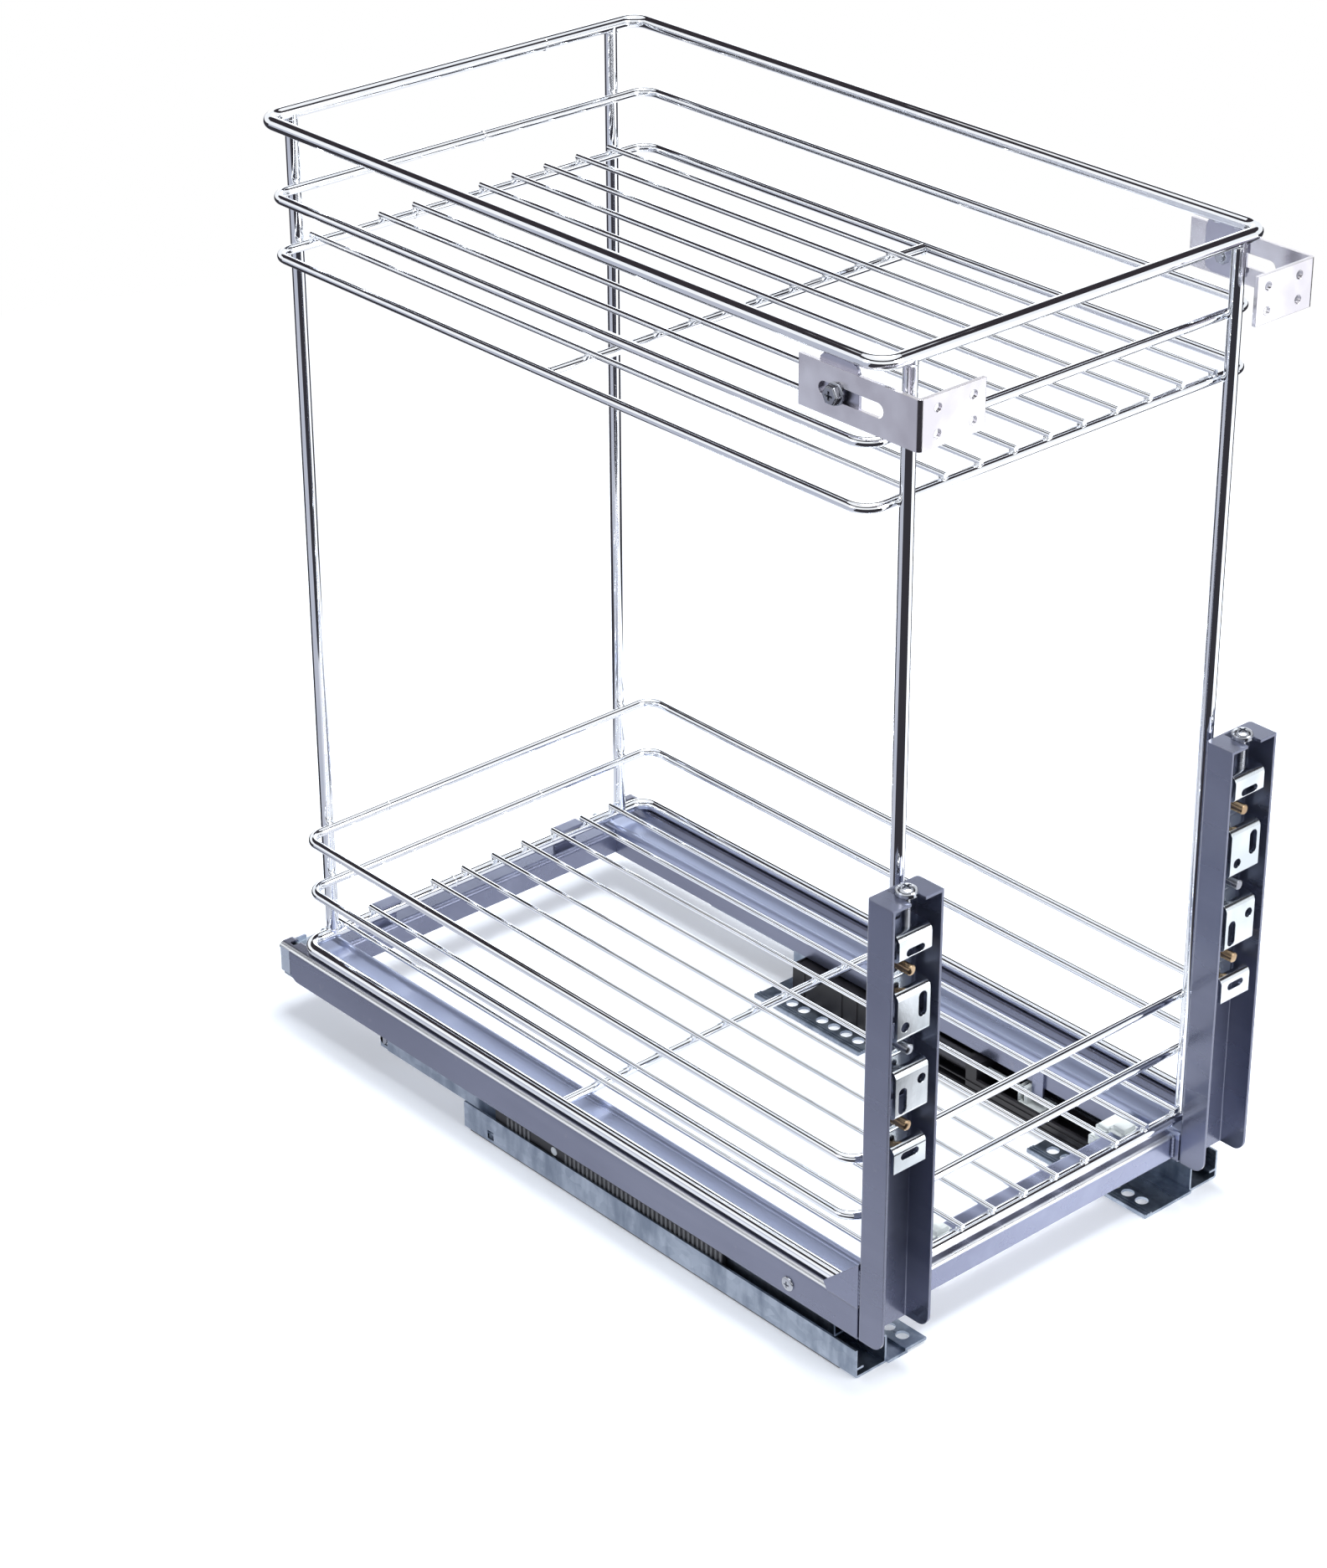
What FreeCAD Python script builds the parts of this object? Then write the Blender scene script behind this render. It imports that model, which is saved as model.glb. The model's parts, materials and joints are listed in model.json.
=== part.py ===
import FreeCAD, Part
import math
import os

# Pull-out cargo basket for a 300 mm base unit, in millimetres.
# The plan values below are measured from the middle of the basket: +X right, -Y front, +Z up,
# with the underside of the cabinet rails at Z = 0. Every shape is moved by PLAN_SHIFT on export,
# so that the exported origin lies under the middle of the bounding box.
# Right-hand pieces are built first and the left-hand ones are their mirror images.

V = FreeCAD.Vector
X_AXIS = V(1, 0, 0)
Y_AXIS = V(0, 1, 0)
Z_AXIS = V(0, 0, 1)

# Wire basket
RING_LENGTH = 440.0          # centre-line length of the top rail and the base rim
TOP_WIDTH = 247.0            # centre-line width of the top rail
RING_WIDTH = 250.0           # centre-line width of every ring below it
RING_CORNER = 10.0           # centre-line radius of the ring corners
RAIL_D = 7.0                 # top rail, base rim and posts
WIRE_D = 5.0                 # the rings between them
CROSS_D = 5.0                # stiffening wire below each floor
CROSS_INSET = 1.6            # its ends stop short of the middle of the rim
FLOOR_D = 3.0                # floor wires
TOP_Z = 522.5                # centre-line height of the top rail
UPPER_MIDDLE_Z = 484.4
UPPER_RIM_Z = 453.3
LOWER_TOP_Z = 116.7
LOWER_MIDDLE_Z = 84.3
POST_INSET = 19.2            # from the middle of the base rim's side to the posts
FLOOR_COUNT = 10
FLOOR_SIDE_GAP = 5.9         # from the middle of a post to the outermost floor wire
FLOOR_OVERHANG = 1.8         # how far a floor wire runs past the middle of its rim

# Powder-coated base frame; each inset or reach of the frame, the slides, the plates and the damper
# is measured inboard from the outer face of the side members
FRAME_REACH = 6.0            # outer face of the side members beyond the middle of the base rim
FRAME_WIDTH = 32.5           # width of a side member and of a door channel
FRAME_T = 1.5
FRAME_LOW_Z = 24.0
RIDGE_Z = 43.8               # ridge that the base rim lies on
TROUGH_Z = 39.5
BEAD_Z = 41.0
MEMBER_FRONT_Y = -226.0
MEMBER_REAR_Y = 236.5
MEMBER_WALL_REAR_Y = 227.2   # rear end of its outer wall; a folded cap closes the rest
MEMBER_END_RADIUS = 6.0
TROUGH_OUTER_INSET = 12.0    # outboard edge of the trough
TROUGH_INNER_INSET = 28.0    # its inboard edge
RIDGE_WIDTH = 9.5            # width of the ridge
BEAD_OUTER_INSET = 29.5      # outboard edge of the inner bead
FOLD_RADIUS = 1.8            # tight outer bend radius of a folded sheet
CAP_WIDTH = 17.7
CAP_LOW_Z = 26.7
CAP_BACK_LOW_Z = 36.6         # its rear face leaves the end of the drawer rail open
CAP_EDGE = 3.0               # width of its upright rear edge
CAP_ROUND = 1.4
CAP_GAP = 0.3
NOTCH_INSET = 9.0            # middle of the notch in the ridge in front of the cap
NOTCH_WIDTH = 10.0
NOTCH_FRONT_Y = 228.2
NOTCH_REAR_Y = 232.2
BEND_RADIUS = 3.0
FRONT_MEMBER_Y = -221.5
FRONT_MEMBER_REAR_Y = -197.0
FRONT_MEMBER_Z = 38.0
CROSS_LIP_Z = 30.0           # lower edge of the rear lip on the two cross members
REAR_MEMBER_Y = 214.5
REAR_MEMBER_REAR_Y = 234.0
REAR_MEMBER_Z = 39.0
REAR_MEMBER_LOW_Z = 25.0
TAB_X = 66.6                 # the two tabs folded over the base rim
TAB_WIDTH = 16.0
GUSSET_REACH = 24.0
GUSSET_LOW_Z = 41.0
GUSSET_TOP_Z = 67.4
GUSSET_END_Z = 46.0          # its height at the rear end
GUSSET_SLANT = 3.0
BLOCK_DEPTH = 10.0           # nylon stop blocks behind the front member
BLOCK_WIDTH = 16.0
BLOCK_LOW_Z = 24.0
BLOCK_TOP_Z = 40.0
BLOCK_LEFT_X = -51.5
BLOCK_ROUND = 4.0
TONGUE_LENGTH = 4.0          # lower tongue behind the block
TONGUE_HEIGHT = 6.0

# Door channels and their fittings
CHANNEL_FRONT_Y = -243.0
CHANNEL_LOW_Z = 24.2
CHANNEL_TOP_Z = 268.3
CHANNEL_RADIUS = 2.0
FLANGE_CORNER = 7.0
TAB_GAP = 9.2                # gap between the two top tabs, where the height screw sits
STRIP_WIDTH = 21.0
STRIP_T = 2.0
STRIP_GAP = 0.1              # between the strip and the channel's web
STRIP_FRONT_Y = -242.0       # front face of the strip's crests
STRIP_DROP = 16.3            # from the channel's top to the strip's top
STRIP_CRESTS = [(0.0, 14.0), (30.0, 56.6), (72.2, 98.5), (114.0, 128.2)]  # drops from its top
STRIP_EDGE_RADIUS = 0.6      # at the foot of each crest
DOOR_SLOT_DROPS = [10.0, 120.5]
DOOR_SLOT_LENGTH = 11.6
DOOR_SLOT_WIDTH = 4.0
UPRIGHT_SLOT_WIDTH = 5.2
UPRIGHT_SLOTS = [(5.6, 47.6, 34.1), (-5.8, 96.2, 82.1)]  # X, and drops of its two ends
DOOR_HOLE_D = 5.2
DOOR_HOLES = [(-5.4, 49.2), (6.2, 81.4)]     # X and drop
STRIP_CREST_RADIUS = 4.0
STRIP_BEND_RADIUS = 2.5
STRIP_TRAVEL = 3.0           # height adjustment up and down
HEIGHT_SCREW_Y = -235.0
HEIGHT_SCREW_D = 5.0
HEIGHT_HEAD_D = 11.0
HEIGHT_HEAD_H = 4.2
HEIGHT_HEAD_ROUND = 1.6
HEIGHT_SCREW_LENGTH = 23.3   # below the head
STUD_D = 5.6                 # front barrel of a strip screw
STUD_FRONT_Y = -240.0
STUD_ROUND = 0.9
STRIP_SCREW_D = 4.0          # its shank through strip and web
STRIP_SLOT_GAP = 0.4
STRIP_HEAD_D = 7.4           # its head behind the web
STRIP_HEAD_H = 1.8
RUN_CLEAR = 0.05             # radial clearance of a screw in its hole
EDGE_MARGIN = 0.1            # tolerance when an edge is picked by its position
CUT_MARGIN = 1.0             # how far a cutter runs past the sheet that it cuts

# Upper door brackets
BRACKET_REACH = 4.0          # outer face of the long arm beyond the middle of the top rail
BRACKET_T = 2.0
BRACKET_RADIUS = 2.5         # outer bend radius
BRACKET_FRONT_Y = -247.5
BRACKET_REAR_Y = -173.5
BRACKET_LOW_Z = 492.2
BRACKET_HEIGHT = 24.0
BRACKET_ARM = 40.0           # reach of the short arm from the outer face
BRACKET_SLOT_WIDTH = 7.0
BRACKET_SLOT_FRONT_Y = -226.0
BRACKET_SLOT_REAR_Y = -186.0
BRACKET_HOLE_D = 4.4
BRACKET_HOLE_INSET = 21.75   # middle of the four door holes
BRACKET_HOLE_DX = 21.5
BRACKET_HOLE_DZ = 12.0
EAR_T = 1.5
EAR_FRONT_Y = -209.0
EAR_LENGTH = 25.0
EAR_LOW_Z = 493.5
CLAMP_Y = -197.0
CLAMP_D = 5.0
CLAMP_HEAD_D = 10.6
CLAMP_HEAD_H = 4.6
CLAMP_HEAD_ROUND = 1.4
CLAMP_SPARE = 1.0            # end of the clamp screw beyond its nut
NUT_D = 8.0                  # across its corners
NUT_SIDES = 6
NUT_H = 4.0

# Slides
RAIL_T = 1.2
RAIL_RADIUS = 1.5            # outer bend radius of the rails
CABINET_FRONT_Y = -225.5
CABINET_LENGTH = 300.0
FLOOR_RADIUS = 0.8           # bend between the cabinet rail's floor and inner wall
CABINET_WIDTH = 21.0
CABINET_TOP_Z = 16.8
CABINET_WALL_Z = 16.4        # top of the outer wall
CABINET_FLANGE = 10.0
CABINET_LIP_Z = 4.6
CABINET_LIP_REACH = 4.3
CABINET_HOLE = 5.0           # square window in the outer wall
CABINET_HOLE_INSET = 21.9    # from the rail's rear end to the window
CABINET_HOLE_Z = 5.1
DRAWER_REAR_Y = 235.0
DRAWER_LENGTH = 450.0
DRAWER_INSET = 21.5          # inner face of the drawer rail
DRAWER_LIP = 10.5
MIDDLE_FRONT_Y = -205.0
MIDDLE_LENGTH = 352.0
MIDDLE_WEB_INSET = 5.0       # outer face of the web
MIDDLE_LOW_Z = 11.4
MIDDLE_TOP_Z = 27.6
MIDDLE_SHELF_Z = 20.8
MIDDLE_LOW_INSET = 18.5      # inboard ends of its three flanges
MIDDLE_TOP_INSET = 19.0
MIDDLE_SHELF_INSET = 15.0
HOOK_LENGTH = 6.0            # hook at the rear end of the middle rail
HOOK_HEIGHT = 6.6
HOOK_WALL = 2.0
ROLL_GAP = 0.3               # between a roller and the rail that it runs on
CAGE_GAP = 0.4               # between a roller and its window
ROLLER_PITCH = 19.0
ROLLER_COUNT = 8
ROLLER_LENGTH = 8.6
LOWER_CAGE_FRONT_Y = -128.0
LOWER_CAGE_LENGTH = 178.0
LOWER_CAGE_LOW_Z = 6.4
LOWER_CAGE_TOP_Z = 10.2
LOWER_CAGE_INNER_INSET = 18.4
LOWER_CAGE_WALL_INSET = 4.4
LOWER_CAGE_OUTER_INSET = 1.8
LOWER_CAGE_WALL_Z = 22.6
UPPER_CAGE_FRONT_Y = -95.0
UPPER_CAGE_LENGTH = 165.0
UPPER_CAGE_LOW_Z = 30.2
UPPER_CAGE_TOP_Z = 34.2
UPPER_CAGE_INNER_INSET = 18.8
UPPER_CAGE_OUTER_INSET = 4.2
FRAME_SCREW_Y = -177.5
FRAME_SCREW_Z = 31.0
FRAME_SCREW_D = 4.0
FRAME_HEAD_D = 8.0
FRAME_HEAD_H = 1.4
FRAME_SCREW_LENGTH = 3.4     # below the head

# Mounting plates
PLATE_T = 1.5
PLATE_REACH = 56.5           # inner edge of the right-hand plates
PLATE_FRONT_Y = -227.0
PLATE_LENGTH = 84.0
PLATE_REAR_INSET = 5.5       # from the rail's rear end to the rear plate
PLATE_HOLE_REACH = 46.8
PLATE_HOLE_D = 7.0
PLATE_HOLE_PITCH = 9.65
PLATE_HOLE_INSET = 11.2
PLATE_FIRST_HOLES = 3
PLATE_SECOND_HOLES = 4
PLATE_HOLE_GAP = 14.7        # between the group of three and the group of four
PLATE_BEAD_W = 1.2
PLATE_BEAD_H = 0.8
PLATE_BEAD_PITCH = 1.9
PLATE_BEADS = 3
RAISED_REACH = 47.0          # the left-hand plates are narrower and raised by their thickness
RAISED_HOLE_REACH = 39.5
RAISED_STEP_REACH = 34.1
RAISED_HOLE_INSET = 9.2

# Soft-close damper beside the right-hand slide
DAMPER_INNER_INSET = 41.0
DAMPER_OUTER_INSET = 21.6
DAMPER_REAR_Y = 54.0
DAMPER_FRONT_Y = -178.0
DAMPER_BLOCK_Y = -5.0        # front of the tall rear block
DAMPER_COLLAR_Y = -90.0      # front of the collar at the cylinder's front end
DAMPER_COLLAR = 8.0
DAMPER_TOP_Z = 22.4
DAMPER_BASE_T = 2.5
DAMPER_TRAY_Z = 13.0
DAMPER_WALL = 2.0
DAMPER_CAP = 3.0
CYLINDER_D = 13.0
CYLINDER_BORE_D = 8.0
CYLINDER_Z = 15.2
ROD_D = 4.0
ROD_CLEAR = 0.2
ROD_REAR_Y = -40.0
PISTON_D = 7.4
PISTON_LENGTH = 6.0
CARRIAGE_REAR_Y = -118.0
CARRIAGE_LENGTH = 16.0
CARRIAGE_GAP = 0.4
CARRIAGE_TOP_Z = 12.0
PRONG_T = 2.5
PRONG_WIDTH = 11.0
PRONG_TOP_Z = 22.4
STRIKER_Y = -128.0           # middle of the striker on the right side member
STRIKER_LENGTH = 8.0
STRIKER_T = 1.5
STRIKER_LOW_Z = 17.0
STRIKER_TOP_Z = 34.0
STRIKER_GAP = 0.3

# Derived values
FRAME_X = RING_WIDTH / 2 + FRAME_REACH
FRAME_INNER_X = FRAME_X - FRAME_WIDTH
TROUGH_OUTER_X = FRAME_X - TROUGH_OUTER_INSET
TROUGH_INNER_X = FRAME_X - TROUGH_INNER_INSET
RIDGE_INNER_X = FRAME_X - RIDGE_WIDTH
BEAD_OUTER_X = FRAME_X - BEAD_OUTER_INSET
CAP_INNER_X = FRAME_X - CAP_WIDTH
NOTCH_X = FRAME_X - NOTCH_INSET
CABINET_INNER_X = FRAME_X - CABINET_WIDTH
DRAWER_INNER_X = FRAME_X - DRAWER_INSET
MIDDLE_WEB_X = FRAME_X - MIDDLE_WEB_INSET
MIDDLE_LOW_X = FRAME_X - MIDDLE_LOW_INSET
MIDDLE_TOP_X = FRAME_X - MIDDLE_TOP_INSET
MIDDLE_SHELF_X = FRAME_X - MIDDLE_SHELF_INSET
LOWER_CAGE_INNER_X = FRAME_X - LOWER_CAGE_INNER_INSET
LOWER_CAGE_WALL_X = FRAME_X - LOWER_CAGE_WALL_INSET
LOWER_CAGE_OUTER_X = FRAME_X - LOWER_CAGE_OUTER_INSET
UPPER_CAGE_INNER_X = FRAME_X - UPPER_CAGE_INNER_INSET
UPPER_CAGE_OUTER_X = FRAME_X - UPPER_CAGE_OUTER_INSET
PLATE_INNER_X = FRAME_X - PLATE_REACH
PLATE_HOLE_X = FRAME_X - PLATE_HOLE_REACH
RAISED_INNER_X = FRAME_X - RAISED_REACH
RAISED_HOLE_X = FRAME_X - RAISED_HOLE_REACH
RAISED_STEP_X = FRAME_X - RAISED_STEP_REACH
DAMPER_INNER_X = FRAME_X - DAMPER_INNER_INSET
DAMPER_OUTER_X = FRAME_X - DAMPER_OUTER_INSET
POST_X = RING_WIDTH / 2 - POST_INSET
FLOOR_PITCH = 2 * (POST_X - FLOOR_SIDE_GAP) / (FLOOR_COUNT - 1)
BRACKET_X = TOP_WIDTH / 2 + BRACKET_REACH
BRACKET_HOLE_X = BRACKET_X - BRACKET_HOLE_INSET
CABINET_REAR_Y = CABINET_FRONT_Y + CABINET_LENGTH
CABINET_HOLE_Y = CABINET_REAR_Y - CABINET_HOLE_INSET
PLATE_REAR_Y = CABINET_REAR_Y - PLATE_REAR_INSET - PLATE_LENGTH
BASE_RIM_Z = RIDGE_Z + RAIL_D / 2
POST_Y = RING_LENGTH / 2
INNER_LENGTH = RING_LENGTH - RAIL_D - WIRE_D
UPPER_FLOOR_Z = UPPER_RIM_Z + WIRE_D / 2 + FLOOR_D / 2
LOWER_FLOOR_Z = BASE_RIM_Z + RAIL_D / 2 + FLOOR_D / 2
CHANNEL_X = (FRAME_X + FRAME_INNER_X) / 2
CHANNEL_WEB_Y = MEMBER_FRONT_Y - FRAME_T
STRIP_BACK_Y = CHANNEL_WEB_Y - STRIP_GAP - STRIP_T
CHANNEL_WEB_REAR_Y = MEMBER_FRONT_Y
STRIP_TOP_Z = CHANNEL_TOP_Z - STRIP_DROP
STRIP_SCREW_DROPS = [(a[1] + b[0]) / 2 for a, b in zip(STRIP_CRESTS, STRIP_CRESTS[1:])]
STRIP_SCREW_ZS = [STRIP_TOP_Z - drop for drop in STRIP_SCREW_DROPS]
BRACKET_MID_Z = BRACKET_LOW_Z + BRACKET_HEIGHT / 2
BRACKET_INNER_X = BRACKET_X - BRACKET_T
EAR_X = BRACKET_INNER_X - EAR_T
DRAWER_X = FRAME_X - FRAME_T
DRAWER_TOP_Z = TROUGH_Z - FRAME_T
LOWER_ROLLER_D = MIDDLE_LOW_Z - RAIL_T - 2 * ROLL_GAP
UPPER_ROLLER_D = DRAWER_TOP_Z - RAIL_T - MIDDLE_TOP_Z - 2 * ROLL_GAP
DAMPER_X = (DAMPER_INNER_X + DAMPER_OUTER_X) / 2
PLAN_SHIFT = -(BRACKET_FRONT_Y + MEMBER_REAR_Y) / 2


def unit(a, b):
    """Unit vector from point a to point b, both given as pairs."""
    length = math.hypot(b[0] - a[0], b[1] - a[1])
    return ((b[0] - a[0]) / length, (b[1] - a[1]) / length)


def box(x0, x1, y0, y1, z0, z1):
    """Axis-aligned box between two opposite corners, given in any order."""
    low = V(min(x0, x1), min(y0, y1), min(z0, z1))
    return Part.makeBox(abs(x1 - x0), abs(y1 - y0), abs(z1 - z0), low)


def rod(diameter, start, end):
    """Cylinder between two points."""
    return Part.makeCylinder(diameter / 2, (end - start).Length, start, end - start)


def rounded_line(points, radii, place):
    """Edges of an open polyline with rounded corners; place turns a pair into a point."""
    edges = []
    start = points[0]
    for i in range(1, len(points) - 1):
        before = unit(points[i], points[i - 1])
        after = unit(points[i], points[i + 1])
        cosine = before[0] * after[0] + before[1] * after[1]
        half = math.acos(max(-1.0, min(1.0, cosine))) / 2
        reach = radii[i] / math.tan(half)
        first = (points[i][0] + before[0] * reach, points[i][1] + before[1] * reach)
        last = (points[i][0] + after[0] * reach, points[i][1] + after[1] * reach)
        edges.append(Part.makeLine(place(*start), place(*first)))
        start = first
        if radii[i] > 0:
            bisector = unit((0, 0), (before[0] + after[0], before[1] + after[1]))
            out = radii[i] / math.sin(half) - radii[i]
            middle = (points[i][0] + bisector[0] * out, points[i][1] + bisector[1] * out)
            edges.append(Part.Arc(place(*first), place(*middle), place(*last)).toShape())
            start = last
    edges.append(Part.makeLine(place(*start), place(*points[-1])))
    return edges


def beside(points, radii, distance):
    """The same polyline moved to its left by distance, with the radii that stay concentric."""
    moved = []
    new_radii = []
    for i, point in enumerate(points):
        ahead = unit(point, points[i + 1]) if i + 1 < len(points) else unit(points[i - 1], point)
        behind = unit(points[i - 1], point) if i > 0 else ahead
        turn = behind[0] * ahead[1] - behind[1] * ahead[0]
        scale = distance / (1 + behind[0] * ahead[0] + behind[1] * ahead[1])
        left = (-(behind[1] + ahead[1]) * scale, (behind[0] + ahead[0]) * scale)
        moved.append((point[0] + left[0], point[1] + left[1]))
        new_radii.append(max(0.0, radii[i] - distance) if turn > 0 else radii[i] + distance)
    return moved, new_radii


def folded(points, radii, thickness, place, depth):
    """Folded sheet: points run along one face, the sheet lies to their left, depth is its length."""
    other, other_radii = beside(points, radii, thickness)
    edges = rounded_line(points, radii, place)
    edges.append(Part.makeLine(place(*points[-1]), place(*other[-1])))
    edges.extend(rounded_line(other[::-1], other_radii[::-1], place))
    edges.append(Part.makeLine(place(*other[0]), place(*points[0])))
    return Part.Face(Part.Wire(Part.__sortEdges__(edges))).extrude(depth)


def across(y):
    """Place pairs as X and Z in the plane at y, for lengths that run along Y."""
    return lambda u, v: V(u, y, v)


def aside(x):
    """Place pairs as Y and Z in the plane at x, for lengths that run along X."""
    return lambda u, v: V(x, u, v)


def level(z):
    """Place pairs as X and Y at height z."""
    return lambda u, v: V(u, v, z)


def slot(width, start, end, through):
    """Cutter for a round-ended slot from start to end; through is the cutting direction and depth."""
    along = end - start
    normal = V(through).normalize()
    side = normal.cross(along).normalize() * (width / 2)
    first = start + V(along).normalize() * (width / 2)
    last = end - V(along).normalize() * (width / 2)
    edges = [
        Part.makeLine(first + side, last + side),
        Part.Arc(last + side, end, last - side).toShape(),
        Part.makeLine(last - side, first - side),
        Part.Arc(first - side, start, first + side).toShape(),
    ]
    return Part.Face(Part.Wire(edges)).extrude(through)


def ring(width, length, z, diameter):
    """Closed wire ring with rounded corners, its seam in the middle of the rear side."""
    half_x = width / 2
    half_y = length / 2
    corners = [(-half_x, half_y), (-half_x, -half_y), (half_x, -half_y), (half_x, half_y)]
    points = [(0, half_y)] + corners + [(0, half_y)]
    radii = [0] + [RING_CORNER] * len(corners) + [0]
    edges = rounded_line(points, radii, level(z))
    section = Part.Wire(Part.makeCircle(diameter / 2, V(0, half_y, z), X_AXIS))
    return Part.Wire(edges).makePipeShell([section], True, False)


def floor_wires(z, length):
    """Parallel wires of one floor, lying on the front and rear of their rim."""
    half = length / 2 + FLOOR_OVERHANG
    wires = []
    for i in range(FLOOR_COUNT):
        x = (i - (FLOOR_COUNT - 1) / 2) * FLOOR_PITCH
        wires.append(rod(FLOOR_D, V(x, -half, z), V(x, half, z)))
    return Part.makeCompound(wires)


def cross_wire(floor_z, rim):
    """Wire below the floor wires at mid-length, ending against the rim."""
    z = floor_z - FLOOR_D / 2 - CROSS_D / 2
    half = RING_WIDTH / 2 - CROSS_INSET
    return middle_solid(rod(CROSS_D, V(-half, 0, z), V(half, 0, z)).cut(rim))


def middle_solid(shape):
    """The solid of a cut shape that has the largest volume."""
    return max(shape.Solids, key=lambda solid: solid.Volume)


def post(x, y, top_rail, base_rim):
    """Upright between the base rim and the top rail, coped onto both."""
    upright = rod(RAIL_D, V(x, y, BASE_RIM_Z), V(x, y, TOP_Z))
    return middle_solid(upright.cut(top_rail).cut(base_rim))


def side_member():
    """Right side member: outer wall, ridge under the base rim, trough and inner wall."""
    points = [
        (FRAME_X, FRAME_LOW_Z),
        (FRAME_X, RIDGE_Z),
        (RIDGE_INNER_X, RIDGE_Z),
        (TROUGH_OUTER_X, TROUGH_Z),
        (TROUGH_INNER_X, TROUGH_Z),
        (BEAD_OUTER_X, BEAD_Z),
        (FRAME_INNER_X, BEAD_Z),
        (FRAME_INNER_X, FRAME_LOW_Z),
    ]
    radii = [0, BEND_RADIUS, FOLD_RADIUS, FOLD_RADIUS, FOLD_RADIUS, FOLD_RADIUS, FOLD_RADIUS, 0]
    length = MEMBER_REAR_Y - MEMBER_FRONT_Y
    member = folded(points, radii, FRAME_T, across(MEMBER_FRONT_Y), Y_AXIS * length)
    member = member.cut(rear_corner_cutter())
    member = member.fuse(member_cap())
    half = NOTCH_WIDTH / 2
    notch_low = RIDGE_Z - FRAME_T - CUT_MARGIN
    notch = box(NOTCH_X - half, NOTCH_X + half, NOTCH_FRONT_Y, NOTCH_REAR_Y, notch_low, RIDGE_Z + CUT_MARGIN)
    return member.cut(notch).cut(frame_screw_cutter()).removeSplitter()


def rear_corner_cutter():
    """Cutter that ends the outer wall before the cap and rounds its lower rear corner."""
    radius = MEMBER_END_RADIUS
    wall_x = FRAME_X - FRAME_T
    outside = FRAME_X + CUT_MARGIN
    rest = box(wall_x, outside, MEMBER_WALL_REAR_Y, MEMBER_REAR_Y + CUT_MARGIN, 0, RIDGE_Z - BEND_RADIUS)
    centre = V(wall_x, MEMBER_WALL_REAR_Y - radius, FRAME_LOW_Z + radius)
    corner = box(wall_x, outside, centre.y, MEMBER_WALL_REAR_Y, 0, centre.z)
    return rest.fuse(corner.cut(rod(2 * radius, centre, V(outside, centre.y, centre.z))))


def member_cap():
    """Cap folded down over the rear end of the side member."""
    top = RIDGE_Z - FRAME_T
    wall_front = MEMBER_WALL_REAR_Y + CAP_GAP
    wall = box(FRAME_X - FRAME_T, FRAME_X, wall_front, MEMBER_REAR_Y, CAP_LOW_Z, top)
    edge = box(FRAME_X - CAP_EDGE, FRAME_X, MEMBER_REAR_Y - FRAME_T, MEMBER_REAR_Y, CAP_LOW_Z, top)
    back = box(CAP_INNER_X, FRAME_X, MEMBER_REAR_Y - FRAME_T, MEMBER_REAR_Y, CAP_BACK_LOW_Z, top)
    cap = wall.fuse([edge, back]).removeSplitter()
    outer = [e for e in cap.Edges if e.BoundBox.XMin > FRAME_X - EDGE_MARGIN]
    corner = [e for e in outer if e.BoundBox.YMin > MEMBER_REAR_Y - EDGE_MARGIN]
    return cap.makeFillet(CAP_ROUND, corner)


def frame_screw_cutter():
    """Cutter for the hole of the frame screw through side member and drawer rail."""
    start = V(FRAME_X + CUT_MARGIN, FRAME_SCREW_Y, FRAME_SCREW_Z)
    end = V(DRAWER_X - RAIL_T - CUT_MARGIN, FRAME_SCREW_Y, FRAME_SCREW_Z)
    return rod(FRAME_SCREW_D + 2 * RUN_CLEAR, start, end)


def frame_screw():
    """Screw that joins the right side member to its drawer rail."""
    face = V(FRAME_X, FRAME_SCREW_Y, FRAME_SCREW_Z)
    head = rod(FRAME_HEAD_D, face, face + X_AXIS * FRAME_HEAD_H)
    return head.fuse(rod(FRAME_SCREW_D, face, face - X_AXIS * FRAME_SCREW_LENGTH))


def gusset(member):
    """Right gusset plate between the door channel and the side member's outer wall."""
    rear = MEMBER_FRONT_Y + GUSSET_REACH
    corners = [
        V(FRAME_X - FRAME_T, MEMBER_FRONT_Y, GUSSET_LOW_Z),
        V(FRAME_X - FRAME_T, rear - GUSSET_SLANT, GUSSET_LOW_Z),
        V(FRAME_X - FRAME_T, rear, GUSSET_END_Z),
        V(FRAME_X - FRAME_T, MEMBER_FRONT_Y, GUSSET_TOP_Z),
    ]
    plate = Part.Face(Part.makePolygon(corners + corners[:1])).extrude(X_AXIS * FRAME_T)
    return middle_solid(plate.cut(member))


def front_member():
    """Cross member at the front, with a top flange and a rear lip."""
    points = [
        (FRONT_MEMBER_REAR_Y, CROSS_LIP_Z),
        (FRONT_MEMBER_REAR_Y, FRONT_MEMBER_Z),
        (FRONT_MEMBER_Y, FRONT_MEMBER_Z),
        (FRONT_MEMBER_Y, FRAME_LOW_Z),
    ]
    radii = [0, FOLD_RADIUS, BEND_RADIUS, 0]
    return folded(points, radii, FRAME_T, aside(-FRAME_INNER_X), X_AXIS * (2 * FRAME_INNER_X))


def rear_member():
    """Cross member at the rear, with two tabs folded over the base rim."""
    points = [
        (REAR_MEMBER_REAR_Y, CROSS_LIP_Z),
        (REAR_MEMBER_REAR_Y, REAR_MEMBER_Z),
        (REAR_MEMBER_Y, REAR_MEMBER_Z),
        (REAR_MEMBER_Y, REAR_MEMBER_LOW_Z),
    ]
    radii = [0, FOLD_RADIUS, BEND_RADIUS, 0]
    member = folded(points, radii, FRAME_T, aside(-FRAME_INNER_X), X_AXIS * (2 * FRAME_INNER_X))
    for x in (-TAB_X, TAB_X):
        member = member.fuse(rim_tab(x))
    return member.removeSplitter()


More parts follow.
